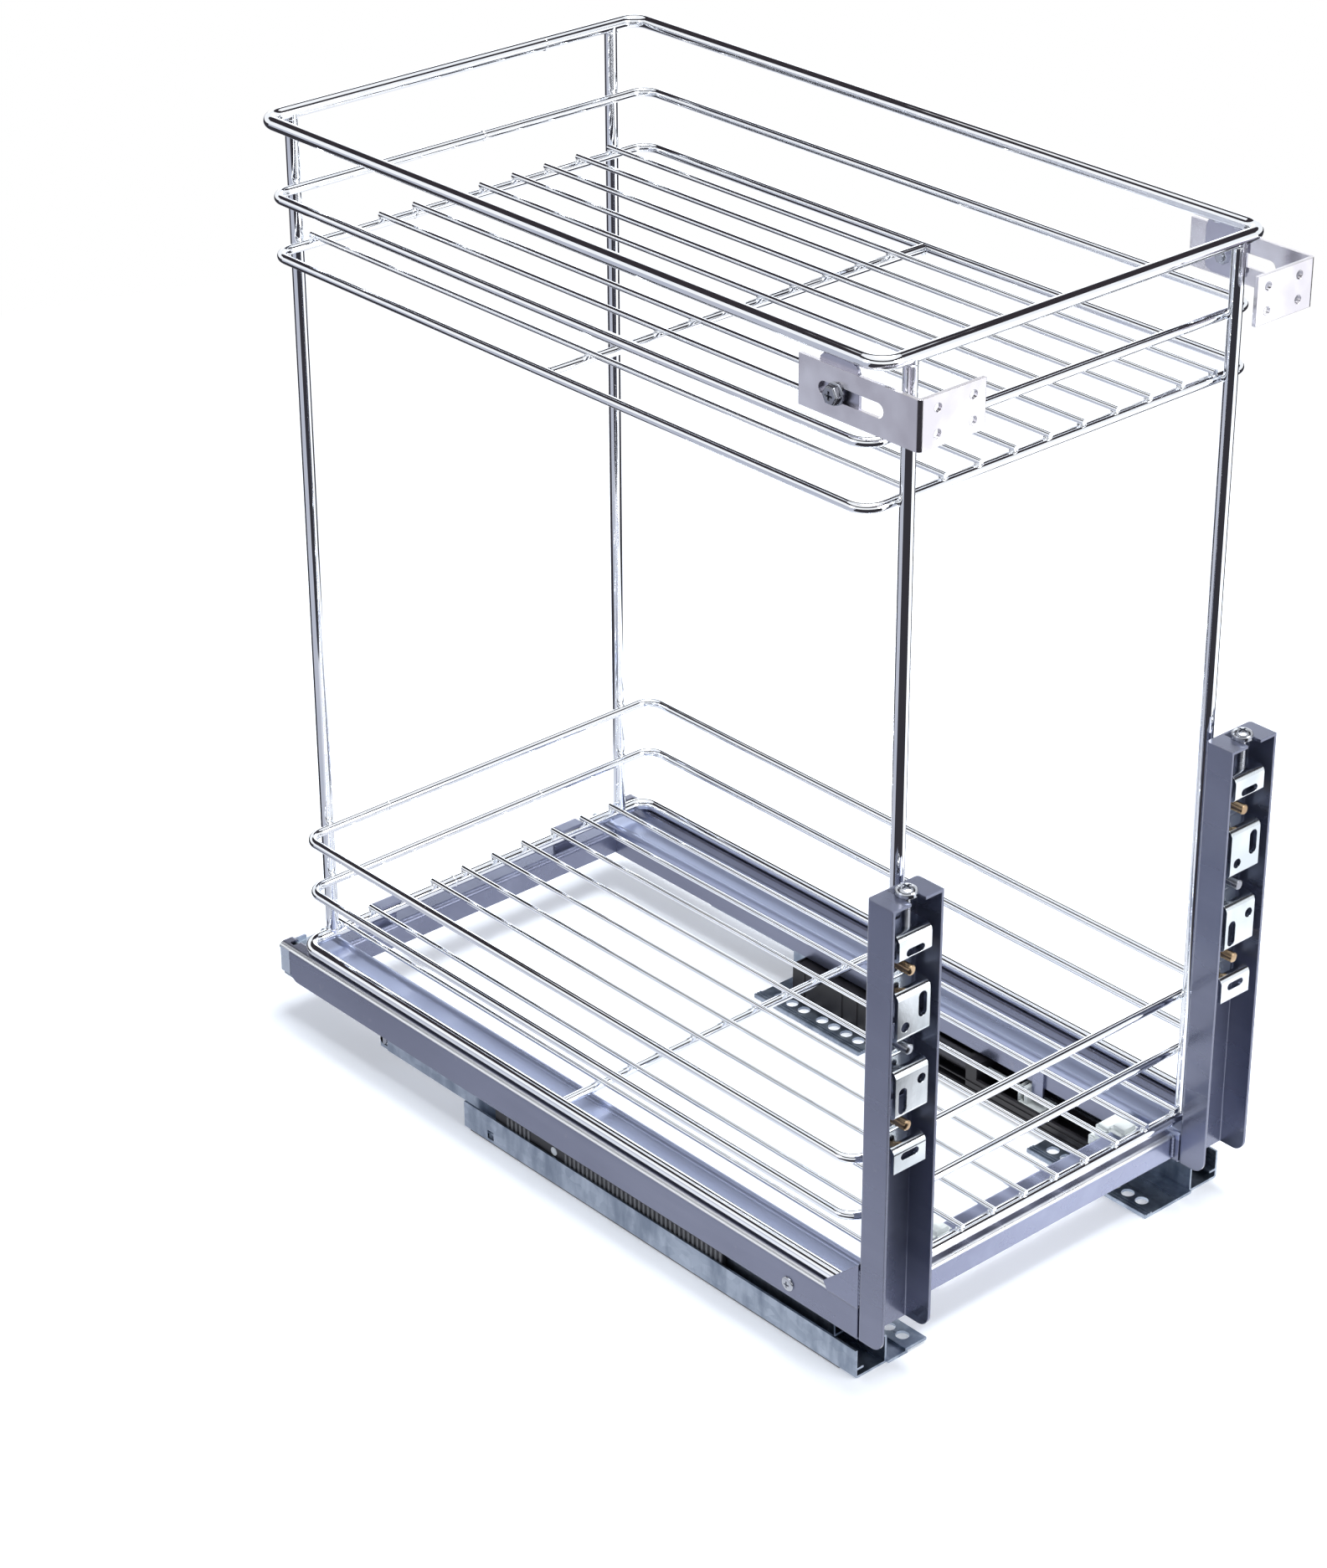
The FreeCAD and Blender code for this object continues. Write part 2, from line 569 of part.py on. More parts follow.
def rim_tab(x):
    """Tab that rises behind the base rim and folds forward over it."""
    back = POST_Y + RAIL_D / 2 + FRAME_T
    top = BASE_RIM_Z + RAIL_D / 2 + FRAME_T
    front = POST_Y - RAIL_D / 2
    points = [(front, top), (back, top), (back, REAR_MEMBER_Z - FRAME_T)]
    radii = [0, FOLD_RADIUS, 0]
    placed = aside(x + TAB_WIDTH / 2)
    reversed_points = [(-u, v) for u, v in points]
    return folded(reversed_points, radii, FRAME_T, lambda u, v: placed(-u, v), X_AXIS * -TAB_WIDTH)


def nylon_block(x):
    """Stop block behind the front member's lip, rounded on top."""
    left = x - BLOCK_WIDTH / 2
    right = x + BLOCK_WIDTH / 2
    rear = FRONT_MEMBER_REAR_Y + BLOCK_DEPTH
    block = box(left, right, FRONT_MEMBER_REAR_Y, rear, BLOCK_LOW_Z, BLOCK_TOP_Z)
    upper = [e for e in block.Edges if e.BoundBox.ZMin > BLOCK_TOP_Z - EDGE_MARGIN]
    top = [e for e in upper if e.BoundBox.XLength < EDGE_MARGIN]
    tongue = box(left, right, rear, rear + TONGUE_LENGTH, BLOCK_LOW_Z, BLOCK_LOW_Z + TONGUE_HEIGHT)
    return block.makeFillet(BLOCK_ROUND, top).fuse(tongue).removeSplitter()


def door_channel():
    """Right door channel, open to the front, with two tabs folded in at the top."""
    points = [
        (FRAME_X, CHANNEL_FRONT_Y),
        (FRAME_X, MEMBER_FRONT_Y),
        (FRAME_INNER_X, MEMBER_FRONT_Y),
        (FRAME_INNER_X, CHANNEL_FRONT_Y),
    ]
    radii = [0, CHANNEL_RADIUS, CHANNEL_RADIUS, 0]
    height = CHANNEL_TOP_Z - CHANNEL_LOW_Z
    channel = folded(points, radii, FRAME_T, level(CHANNEL_LOW_Z), Z_AXIS * height)
    tab_low = CHANNEL_TOP_Z - FRAME_T
    outer_edge = CHANNEL_X + TAB_GAP / 2
    inner_edge = CHANNEL_X - TAB_GAP / 2
    for x0, x1 in ((outer_edge, FRAME_X - FRAME_T), (FRAME_INNER_X + FRAME_T, inner_edge)):
        tab = box(x0, x1, CHANNEL_FRONT_Y, CHANNEL_WEB_Y, tab_low, CHANNEL_TOP_Z)
        channel = channel.fuse(tab)
    channel = channel.cut(flange_corner_cutter())
    for z in STRIP_SCREW_ZS:
        start = V(CHANNEL_X, CHANNEL_WEB_Y - CUT_MARGIN, z)
        end = V(CHANNEL_X, CHANNEL_WEB_REAR_Y + CUT_MARGIN, z)
        channel = channel.cut(rod(STRIP_SCREW_D + 2 * RUN_CLEAR, start, end))
    return channel.removeSplitter()


def flange_corner_cutter():
    """Cutter that rounds the lower front corner of both flanges."""
    radius = FLANGE_CORNER
    inner = FRAME_INNER_X - CUT_MARGIN
    outer = FRAME_X + CUT_MARGIN
    centre = V(inner, CHANNEL_FRONT_Y + radius, CHANNEL_LOW_Z + radius)
    square = box(inner, outer, CHANNEL_FRONT_Y, centre.y, CHANNEL_LOW_Z, centre.z)
    return square.cut(rod(2 * radius, centre, V(outer, centre.y, centre.z)))


def door_strip():
    """Right corrugated strip that the door front is screwed to; the left one is an equal copy."""
    first_top = STRIP_TOP_Z
    last_bottom = STRIP_TOP_Z - STRIP_CRESTS[-1][1]
    points = [(STRIP_BACK_Y + STRIP_T / 2, first_top)]
    radii = [0]
    for top_drop, bottom_drop in STRIP_CRESTS:
        top = STRIP_TOP_Z - top_drop
        bottom = STRIP_TOP_Z - bottom_drop
        if top != first_top:
            points.append((STRIP_BACK_Y, top))
            radii.append(STRIP_EDGE_RADIUS)
        points.append((STRIP_FRONT_Y, top))
        radii.append(STRIP_CREST_RADIUS)
        points.append((STRIP_FRONT_Y, bottom))
        radii.append(STRIP_BEND_RADIUS)
        if bottom != last_bottom:
            points.append((STRIP_BACK_Y, bottom))
            radii.append(STRIP_EDGE_RADIUS)
    radii[-1] = 0
    left = CHANNEL_X - STRIP_WIDTH / 2
    strip = folded(points, radii, STRIP_T, aside(left), X_AXIS * STRIP_WIDTH)
    for cutter in door_slot_cutters() + strip_screw_cutters():
        strip = strip.cut(cutter)
    return strip


def door_slot_cutters():
    """Cutters for the slots and holes that take the door's screws."""
    front = STRIP_FRONT_Y - CUT_MARGIN
    through = Y_AXIS * (STRIP_T + 2 * CUT_MARGIN)
    half = DOOR_SLOT_LENGTH / 2
    cutters = []
    for drop in DOOR_SLOT_DROPS:
        z = STRIP_TOP_Z - drop
        start = V(CHANNEL_X - half, front, z)
        cutters.append(slot(DOOR_SLOT_WIDTH, start, V(CHANNEL_X + half, front, z), through))
    for dx, low_drop, high_drop in UPRIGHT_SLOTS:
        start = V(CHANNEL_X + dx, front, STRIP_TOP_Z - low_drop)
        end = V(CHANNEL_X + dx, front, STRIP_TOP_Z - high_drop)
        cutters.append(slot(UPRIGHT_SLOT_WIDTH, start, end, through))
    for dx, drop in DOOR_HOLES:
        start = V(CHANNEL_X + dx, front, STRIP_TOP_Z - drop)
        cutters.append(rod(DOOR_HOLE_D, start, start + through))
    return cutters


def strip_screw_cutters():
    """Cutters for the upright slots around the strip screws and for the height screw's hole."""
    back = STRIP_BACK_Y - CUT_MARGIN
    through = Y_AXIS * (STRIP_T + 2 * CUT_MARGIN)
    width = STRIP_SCREW_D + STRIP_SLOT_GAP
    reach = STRIP_TRAVEL + width / 2
    cutters = []
    for z in STRIP_SCREW_ZS:
        low = V(CHANNEL_X, back, z - reach)
        cutters.append(slot(width, low, V(CHANNEL_X, back, z + reach), through))
    top = V(CHANNEL_X, HEIGHT_SCREW_Y, STRIP_TOP_Z + CUT_MARGIN)
    down = Z_AXIS * -(STRIP_T + 2 * CUT_MARGIN)
    cutters.append(rod(HEIGHT_SCREW_D + 2 * RUN_CLEAR, top, top + down))
    return cutters


def height_screw():
    """Right height screw, hanging by its head in the gap between the channel's top tabs."""
    seat = V(CHANNEL_X, HEIGHT_SCREW_Y, CHANNEL_TOP_Z + RUN_CLEAR)
    head = rod(HEIGHT_HEAD_D, seat, seat + Z_AXIS * HEIGHT_HEAD_H)
    rim = [e for e in head.Edges if e.BoundBox.ZMin > seat.z + HEIGHT_HEAD_H - EDGE_MARGIN]
    head = head.makeFillet(HEIGHT_HEAD_ROUND, rim)
    return head.fuse(rod(HEIGHT_SCREW_D, seat, seat - Z_AXIS * HEIGHT_SCREW_LENGTH))


def strip_screw(z):
    """Right screw that clamps the door strip to the channel's web; its long barrel points forward."""
    seat = V(CHANNEL_X, STRIP_BACK_Y - RUN_CLEAR, z)
    barrel = rod(STUD_D, seat, V(CHANNEL_X, STUD_FRONT_Y, z))
    tip = [e for e in barrel.Edges if e.BoundBox.YMax < STUD_FRONT_Y + EDGE_MARGIN]
    web = V(CHANNEL_X, CHANNEL_WEB_REAR_Y, z)
    head = rod(STRIP_HEAD_D, web, web + Y_AXIS * STRIP_HEAD_H)
    return barrel.makeFillet(STUD_ROUND, tip).fuse([rod(STRIP_SCREW_D, seat, web), head])


def top_bracket():
    """Right upper door bracket: slotted long arm, and a short arm with four door holes."""
    points = [
        (BRACKET_X - BRACKET_ARM, BRACKET_FRONT_Y),
        (BRACKET_X, BRACKET_FRONT_Y),
        (BRACKET_X, BRACKET_REAR_Y),
    ]
    radii = [0, BRACKET_RADIUS, 0]
    bracket = folded(points, radii, BRACKET_T, level(BRACKET_LOW_Z), Z_AXIS * BRACKET_HEIGHT)
    through = BRACKET_T + 2 * CUT_MARGIN
    start = V(BRACKET_X + CUT_MARGIN, BRACKET_SLOT_FRONT_Y, BRACKET_MID_Z)
    end = V(BRACKET_X + CUT_MARGIN, BRACKET_SLOT_REAR_Y, BRACKET_MID_Z)
    bracket = bracket.cut(slot(BRACKET_SLOT_WIDTH, start, end, X_AXIS * -through))
    for dx in (-BRACKET_HOLE_DX / 2, BRACKET_HOLE_DX / 2):
        for dz in (-BRACKET_HOLE_DZ / 2, BRACKET_HOLE_DZ / 2):
            hole = V(BRACKET_HOLE_X + dx, BRACKET_FRONT_Y - CUT_MARGIN, BRACKET_MID_Z + dz)
            bracket = bracket.cut(rod(BRACKET_HOLE_D, hole, hole + Y_AXIS * through))
    return bracket


def bracket_ear(top_rail):
    """Right ear plate, welded under the top rail, that the bracket is clamped against."""
    ear = box(EAR_X, BRACKET_INNER_X, EAR_FRONT_Y, EAR_FRONT_Y + EAR_LENGTH, EAR_LOW_Z, TOP_Z)
    ear = middle_solid(ear.cut(top_rail))
    start = V(EAR_X - CUT_MARGIN, CLAMP_Y, BRACKET_MID_Z)
    end = V(BRACKET_INNER_X + CUT_MARGIN, CLAMP_Y, BRACKET_MID_Z)
    return ear.cut(rod(CLAMP_D + 2 * RUN_CLEAR, start, end))


def clamp_screw():
    """Right clamp screw through the bracket's slot, the ear and the nut."""
    seat = V(BRACKET_X + RUN_CLEAR, CLAMP_Y, BRACKET_MID_Z)
    head = rod(CLAMP_HEAD_D, seat, seat + X_AXIS * CLAMP_HEAD_H)
    rim = [e for e in head.Edges if e.BoundBox.XMin > seat.x + CLAMP_HEAD_H - EDGE_MARGIN]
    head = head.makeFillet(CLAMP_HEAD_ROUND, rim)
    return head.fuse(rod(CLAMP_D, seat, V(EAR_X - NUT_H - CLAMP_SPARE, seat.y, seat.z)))


def clamp_nut():
    """Right nut on the inboard face of the ear."""
    seat = V(EAR_X, CLAMP_Y, BRACKET_MID_Z)
    corners = []
    for i in range(NUT_SIDES):
        angle = 2 * math.pi * i / NUT_SIDES
        corners.append(seat + V(0, math.cos(angle), math.sin(angle)) * (NUT_D / 2))
    nut = Part.Face(Part.makePolygon(corners + corners[:1])).extrude(X_AXIS * -NUT_H)
    start = seat + X_AXIS * CUT_MARGIN
    end = seat - X_AXIS * (NUT_H + CUT_MARGIN)
    return nut.cut(rod(CLAMP_D + 2 * RUN_CLEAR, start, end))


def drawer_rail():
    """Right drawer rail: a channel open below, with a lip at the foot of its inner wall."""
    points = [
        (DRAWER_X, FRAME_LOW_Z),
        (DRAWER_X, DRAWER_TOP_Z),
        (DRAWER_INNER_X, DRAWER_TOP_Z),
        (DRAWER_INNER_X, FRAME_LOW_Z),
        (DRAWER_INNER_X + DRAWER_LIP, FRAME_LOW_Z),
    ]
    radii = [0, RAIL_RADIUS, RAIL_RADIUS, RAIL_RADIUS, 0]
    front = DRAWER_REAR_Y - DRAWER_LENGTH
    rail = folded(points, radii, RAIL_T, across(front), Y_AXIS * DRAWER_LENGTH)
    return rail.cut(frame_screw_cutter())


def middle_rail():
    """Right middle rail: a web with three inboard flanges and a hook at the rear end."""
    front = MIDDLE_FRONT_Y
    rear = MIDDLE_FRONT_Y + MIDDLE_LENGTH
    points = [
        (MIDDLE_LOW_X, MIDDLE_LOW_Z),
        (MIDDLE_WEB_X, MIDDLE_LOW_Z),
        (MIDDLE_WEB_X, MIDDLE_TOP_Z),
        (MIDDLE_TOP_X, MIDDLE_TOP_Z),
    ]
    radii = [0, RAIL_RADIUS, RAIL_RADIUS, 0]
    rail = folded(points, radii, RAIL_T, across(front), Y_AXIS * MIDDLE_LENGTH)
    web_inner = MIDDLE_WEB_X - RAIL_T
    shelf = box(MIDDLE_SHELF_X, web_inner, front, rear, MIDDLE_SHELF_Z - RAIL_T, MIDDLE_SHELF_Z)
    return rail.fuse([shelf, middle_hook(web_inner, rear)]).removeSplitter()


def middle_hook(web_inner, rear):
    """Upturned hook at the rear end of the middle rail's web."""
    low = MIDDLE_LOW_Z + RAIL_RADIUS
    top = low + HOOK_HEIGHT
    hook = box(web_inner, MIDDLE_WEB_X, rear, rear + HOOK_LENGTH, low, top)
    notch_rear = rear + HOOK_LENGTH - HOOK_WALL
    notch = box(web_inner, MIDDLE_WEB_X, rear, notch_rear, low + HOOK_WALL, top + CUT_MARGIN)
    return hook.cut(notch)


def cabinet_rail():
    """Right cabinet rail: floor, inner wall with top flange, outer wall with an inward lip."""
    points = [
        (CABINET_INNER_X + CABINET_FLANGE, CABINET_TOP_Z),
        (CABINET_INNER_X, CABINET_TOP_Z),
        (CABINET_INNER_X, 0),
        (FRAME_X, 0),
        (FRAME_X, CABINET_WALL_Z),
    ]
    front = CABINET_FRONT_Y
    rear = CABINET_REAR_Y
    radii = [0, RAIL_RADIUS, FLOOR_RADIUS, RAIL_RADIUS, 0]
    rail = folded(points, radii, RAIL_T, across(front), Y_AXIS * CABINET_LENGTH)
    wall_x = FRAME_X - RAIL_T
    lip_top = CABINET_LIP_Z + RAIL_T
    rail = rail.fuse(box(wall_x - CABINET_LIP_REACH, wall_x, front, rear, CABINET_LIP_Z, lip_top))
    half = CABINET_HOLE / 2
    window = box(wall_x, FRAME_X, CABINET_HOLE_Y - half, CABINET_HOLE_Y + half,
                 CABINET_HOLE_Z - half, CABINET_HOLE_Z + half)
    return rail.cut(window).removeSplitter()


def plate_hole_offsets():
    """Distances of the seven holes from the first one: a group of three, then a group of four."""
    first = [i * PLATE_HOLE_PITCH for i in range(PLATE_FIRST_HOLES)]
    start = first[-1] + PLATE_HOLE_GAP
    second = [start + i * PLATE_HOLE_PITCH for i in range(PLATE_SECOND_HOLES)]
    return first + second


def drilled(plate, x, first_y, step, top):
    """Plate with its row of seven holes, starting at first_y in the direction of step."""
    for offset in plate_hole_offsets():
        centre = V(x, first_y + step * offset, -CUT_MARGIN)
        plate = plate.cut(rod(PLATE_HOLE_D, centre, V(centre.x, centre.y, top + CUT_MARGIN)))
    return plate


def flat_plate(front, step):
    """Right mounting plate with three beads; step is -1 where the group of three is at the rear."""
    rear = front + PLATE_LENGTH
    plate = box(PLATE_INNER_X, CABINET_INNER_X, front, rear, 0, PLATE_T)
    for i in range(PLATE_BEADS):
        x = PLATE_INNER_X + i * PLATE_BEAD_PITCH
        bead = box(x, x + PLATE_BEAD_W, front, rear, PLATE_T, PLATE_T + PLATE_BEAD_H)
        plate = plate.fuse(bead)
    first_y = front + PLATE_HOLE_INSET if step > 0 else rear - PLATE_HOLE_INSET
    return drilled(plate, PLATE_HOLE_X, first_y, step, PLATE_T).removeSplitter()


def raised_plate(front, step):
    """Left mounting plate, built as a right-hand one: narrower, its inner part one sheet higher."""
    rear = front + PLATE_LENGTH
    plate = box(RAISED_STEP_X, CABINET_INNER_X, front, rear, 0, PLATE_T)
    upper = box(RAISED_INNER_X, RAISED_STEP_X + PLATE_T, front, rear, PLATE_T, 2 * PLATE_T)
    first_y = front + RAISED_HOLE_INSET if step > 0 else rear - RAISED_HOLE_INSET
    plate = plate.fuse(upper)
    return drilled(plate, RAISED_HOLE_X, first_y, step, 2 * PLATE_T).removeSplitter()


def roller_ys(front, length):
    """Positions of the rollers, spread evenly over a cage."""
    middle = front + length / 2
    return [middle + (i - (ROLLER_COUNT - 1) / 2) * ROLLER_PITCH for i in range(ROLLER_COUNT)]


def rollers(front, length, x, z, diameter):
    """Rollers of one cage, each with its axis along X."""
    half = ROLLER_LENGTH / 2
    shapes = []
    for y in roller_ys(front, length):
        shapes.append(rod(diameter, V(x - half, y, z), V(x + half, y, z)))
    return Part.makeCompound(shapes)


def cut_windows(cage, front, length, x, z0, z1, diameter):
    """Cage plate with one window per roller."""
    half_x = ROLLER_LENGTH / 2 + CAGE_GAP
    half_y = diameter / 2 + CAGE_GAP
    for y in roller_ys(front, length):
        cage = cage.cut(box(x - half_x, x + half_x, y - half_y, y + half_y, z0, z1))
    return cage


def lower_cage():
    """Right lower roller cage: windowed plate on the cabinet rail and a wall beside the middle rail."""
    front = LOWER_CAGE_FRONT_Y
    rear = front + LOWER_CAGE_LENGTH
    low = LOWER_CAGE_LOW_Z
    plate = box(LOWER_CAGE_INNER_X, LOWER_CAGE_OUTER_X, front, rear, low, LOWER_CAGE_TOP_Z)
    x = lower_roller_x()
    plate = cut_windows(plate, front, LOWER_CAGE_LENGTH, x, low, LOWER_CAGE_TOP_Z, LOWER_ROLLER_D)
    wall = box(LOWER_CAGE_WALL_X, LOWER_CAGE_OUTER_X, front, rear, low, LOWER_CAGE_WALL_Z)
    return plate.fuse(wall).removeSplitter()


def lower_roller_x():
    """Middle of the lower rollers, between the two sides of the middle rail's lower flange."""
    return (MIDDLE_LOW_X + MIDDLE_WEB_X - RAIL_T) / 2


def lower_rollers():
    """Right lower rollers, between the cabinet rail's floor and the middle rail."""
    z = (RAIL_T + MIDDLE_LOW_Z) / 2
    return rollers(LOWER_CAGE_FRONT_Y, LOWER_CAGE_LENGTH, lower_roller_x(), z, LOWER_ROLLER_D)


def upper_cage():
    """Right upper roller cage, between the middle rail and the top of the drawer rail."""
    front = UPPER_CAGE_FRONT_Y
    low = UPPER_CAGE_LOW_Z
    top = UPPER_CAGE_TOP_Z
    plate = box(UPPER_CAGE_INNER_X, UPPER_CAGE_OUTER_X, front, front + UPPER_CAGE_LENGTH, low, top)
    return cut_windows(plate, front, UPPER_CAGE_LENGTH, upper_roller_x(), low, top, UPPER_ROLLER_D)


def upper_roller_x():
    """Middle of the upper rollers, in the middle of their cage."""
    return (UPPER_CAGE_INNER_X + UPPER_CAGE_OUTER_X) / 2


def upper_rollers():
    """Right upper rollers, between the middle rail's top flange and the drawer rail."""
    z = (MIDDLE_TOP_Z + DRAWER_TOP_Z - RAIL_T) / 2
    return rollers(UPPER_CAGE_FRONT_Y, UPPER_CAGE_LENGTH, upper_roller_x(), z, UPPER_ROLLER_D)


def damper_housing():
    """Housing of the soft-close damper: rear block, base, collar and open front tray."""
    low = PLATE_T
    x0 = DAMPER_INNER_X
    x1 = DAMPER_OUTER_X
    floor = low + DAMPER_BASE_T
    body = box(x0, x1, DAMPER_FRONT_Y, DAMPER_REAR_Y, low, floor)
    body = body.fuse(box(x0, x1, DAMPER_BLOCK_Y, DAMPER_REAR_Y, low, DAMPER_TOP_Z))
    collar_rear = DAMPER_COLLAR_Y + DAMPER_COLLAR
    body = body.fuse(box(x0, x1, DAMPER_COLLAR_Y, collar_rear, low, DAMPER_TOP_Z))
    for wall_x in (x0, x1 - DAMPER_WALL):
        wall = box(wall_x, wall_x + DAMPER_WALL, DAMPER_FRONT_Y, DAMPER_COLLAR_Y, floor, DAMPER_TRAY_Z)
        body = body.fuse(wall)
    cap_rear = DAMPER_FRONT_Y + DAMPER_CAP
    body = body.fuse(box(x0, x1, DAMPER_FRONT_Y, cap_rear, floor, DAMPER_TRAY_Z))
    front = V(DAMPER_X, DAMPER_COLLAR_Y, CYLINDER_Z)
    rear = V(DAMPER_X, collar_rear, CYLINDER_Z)
    return body.cut(rod(ROD_D + 2 * ROD_CLEAR, front, rear)).removeSplitter()


def damper_cylinder():
    """Damper cylinder between the rear block and the collar, bored for the piston."""
    front = V(DAMPER_X, DAMPER_COLLAR_Y + DAMPER_COLLAR, CYLINDER_Z)
    rear = V(DAMPER_X, DAMPER_BLOCK_Y, CYLINDER_Z)
    cylinder = rod(CYLINDER_D, front, rear)
    bore_front = front + Y_AXIS * DAMPER_CAP
    cylinder = cylinder.cut(rod(CYLINDER_BORE_D, bore_front, rear - Y_AXIS * DAMPER_CAP))
    return cylinder.cut(rod(ROD_D + 2 * ROD_CLEAR, front, bore_front))


def damper_catch():
    """Catch carriage with its piston rod, and the prong that the striker pushes home."""
    floor = PLATE_T + DAMPER_BASE_T + CARRIAGE_GAP
    x0 = DAMPER_INNER_X + DAMPER_WALL + CARRIAGE_GAP
    x1 = DAMPER_OUTER_X - DAMPER_WALL - CARRIAGE_GAP
    front = CARRIAGE_REAR_Y - CARRIAGE_LENGTH
    carriage = box(x0, x1, front, CARRIAGE_REAR_Y, floor, CARRIAGE_TOP_Z)
    prong_front = STRIKER_Y + STRIKER_LENGTH / 2 + STRIKER_GAP
    half = PRONG_WIDTH / 2
    prong = box(DAMPER_X - half, DAMPER_X + half, prong_front, prong_front + PRONG_T, floor, PRONG_TOP_Z)
    piston_end = V(DAMPER_X, ROD_REAR_Y, CYLINDER_Z)
    shaft = rod(ROD_D, V(DAMPER_X, prong_front + PRONG_T / 2, CYLINDER_Z), piston_end)
    piston = rod(PISTON_D, piston_end, piston_end + Y_AXIS * PISTON_LENGTH)
    return carriage.fuse([prong, shaft, piston]).removeSplitter()


def striker():
    """Striker on the inner wall of the right side member, in front of the catch's prong."""
    half = STRIKER_LENGTH / 2
    return box(FRAME_INNER_X - STRIKER_T, FRAME_INNER_X, STRIKER_Y - half, STRIKER_Y + half,
               STRIKER_LOW_Z, STRIKER_TOP_Z)


def mirrored(shape):
    """Left-hand copy of a right-hand shape."""
    return shape.mirror(V(0, 0, 0), X_AXIS)


def both(shape):
    """A right-hand shape and its left-hand copy as one compound."""
    return Part.makeCompound([shape, mirrored(shape)])


def wire_nodes(top_rail, base_rim):
    """The wire basket: rings, floors and posts."""
    upper_rim = ring(RING_WIDTH, INNER_LENGTH, UPPER_RIM_Z, WIRE_D)
    nodes = {
        "top_rail": top_rail,
        "upper_middle_rail": ring(RING_WIDTH, INNER_LENGTH, UPPER_MIDDLE_Z, WIRE_D),
        "upper_floor_rim": upper_rim,
        "upper_floor_wires": floor_wires(UPPER_FLOOR_Z, INNER_LENGTH),
        "upper_cross_wire": cross_wire(UPPER_FLOOR_Z, upper_rim),
        "lower_top_rail": ring(RING_WIDTH, INNER_LENGTH, LOWER_TOP_Z, WIRE_D),
        "lower_middle_rail": ring(RING_WIDTH, INNER_LENGTH, LOWER_MIDDLE_Z, WIRE_D),
        "base_rim": base_rim,
        "lower_floor_wires": floor_wires(LOWER_FLOOR_Z, RING_LENGTH),
        "lower_cross_wire": cross_wire(LOWER_FLOOR_Z, base_rim),
    }
    for end, y in (("front", -POST_Y), ("rear", POST_Y)):
        for side, x in (("left", -POST_X), ("right", POST_X)):
            nodes["post_%s_%s" % (end, side)] = post(x, y, top_rail, base_rim)
    return nodes


def paired_nodes(top_rail):
    """Pieces that exist once on each side, as right-hand shapes."""
    member = side_member()
    return {
        "side_member": member,
        "gusset": gusset(member),
        "door_channel": door_channel(),
        "height_screw": height_screw(),
        "bracket_ear": bracket_ear(top_rail),
        "top_bracket": top_bracket(),
        "drawer_rail": drawer_rail(),
        "middle_rail": middle_rail(),
        "cabinet_rail": cabinet_rail(),
        "lower_cage": lower_cage(),
        "lower_rollers": lower_rollers(),
        "upper_cage": upper_cage(),
        "upper_rollers": upper_rollers(),
    }


def unequal_nodes():
    """Pieces that exist on both sides but are not mirror images."""
    strip = door_strip()
    return {
        "door_strip_right": strip,
        "door_strip_left": strip.translated(X_AXIS * (-2 * CHANNEL_X)),
        "front_plate_right": flat_plate(PLATE_FRONT_Y, 1),
        "rear_plate_right": flat_plate(PLATE_REAR_Y, -1),
        "front_plate_left": mirrored(raised_plate(PLATE_FRONT_Y, 1)),
        "rear_plate_left": mirrored(raised_plate(PLATE_REAR_Y, -1)),
    }


def single_nodes():
    """Cross members, shared fasteners and the damper."""
    block_right_x = FRAME_INNER_X - BLOCK_WIDTH / 2
    brass_screws = Part.makeCompound([strip_screw(STRIP_SCREW_ZS[0]), strip_screw(STRIP_SCREW_ZS[2])])
    return {
        "front_member": front_member(),
        "rear_member": rear_member(),
        "nylon_blocks": Part.makeCompound([nylon_block(BLOCK_LEFT_X), nylon_block(block_right_x)]),
        "strip_screws_brass": both(brass_screws),
        "strip_screws_zinc": both(strip_screw(STRIP_SCREW_ZS[1])),
        "clamp_screws": both(clamp_screw()),
        "clamp_nuts": both(clamp_nut()),
        "frame_screws": both(frame_screw()),
        "damper_housing": damper_housing(),
        "damper_cylinder": damper_cylinder(),
        "damper_catch": damper_catch(),
        "striker": striker(),
    }


def build():
    """Every node of the part, by name."""
    top_rail = ring(TOP_WIDTH, RING_LENGTH, TOP_Z, RAIL_D)
    base_rim = ring(RING_WIDTH, RING_LENGTH, BASE_RIM_Z, RAIL_D)
    nodes = wire_nodes(top_rail, base_rim)
    for name, shape in paired_nodes(top_rail).items():
        nodes[name + "_right"] = shape
        nodes[name + "_left"] = mirrored(shape)
    nodes.update(unequal_nodes())
    nodes.update(single_nodes())
    return nodes


os.makedirs("parts", exist_ok=True)
for node, solid_shape in build().items():
    placed_shape = solid_shape.copy()
    placed_shape.translate(V(0, PLAN_SHIFT, 0))
    placed_shape.exportStep("parts/%s.step" % node)
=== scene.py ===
import json
import math
import random

import bmesh
import bpy
from mathutils import Matrix, Vector


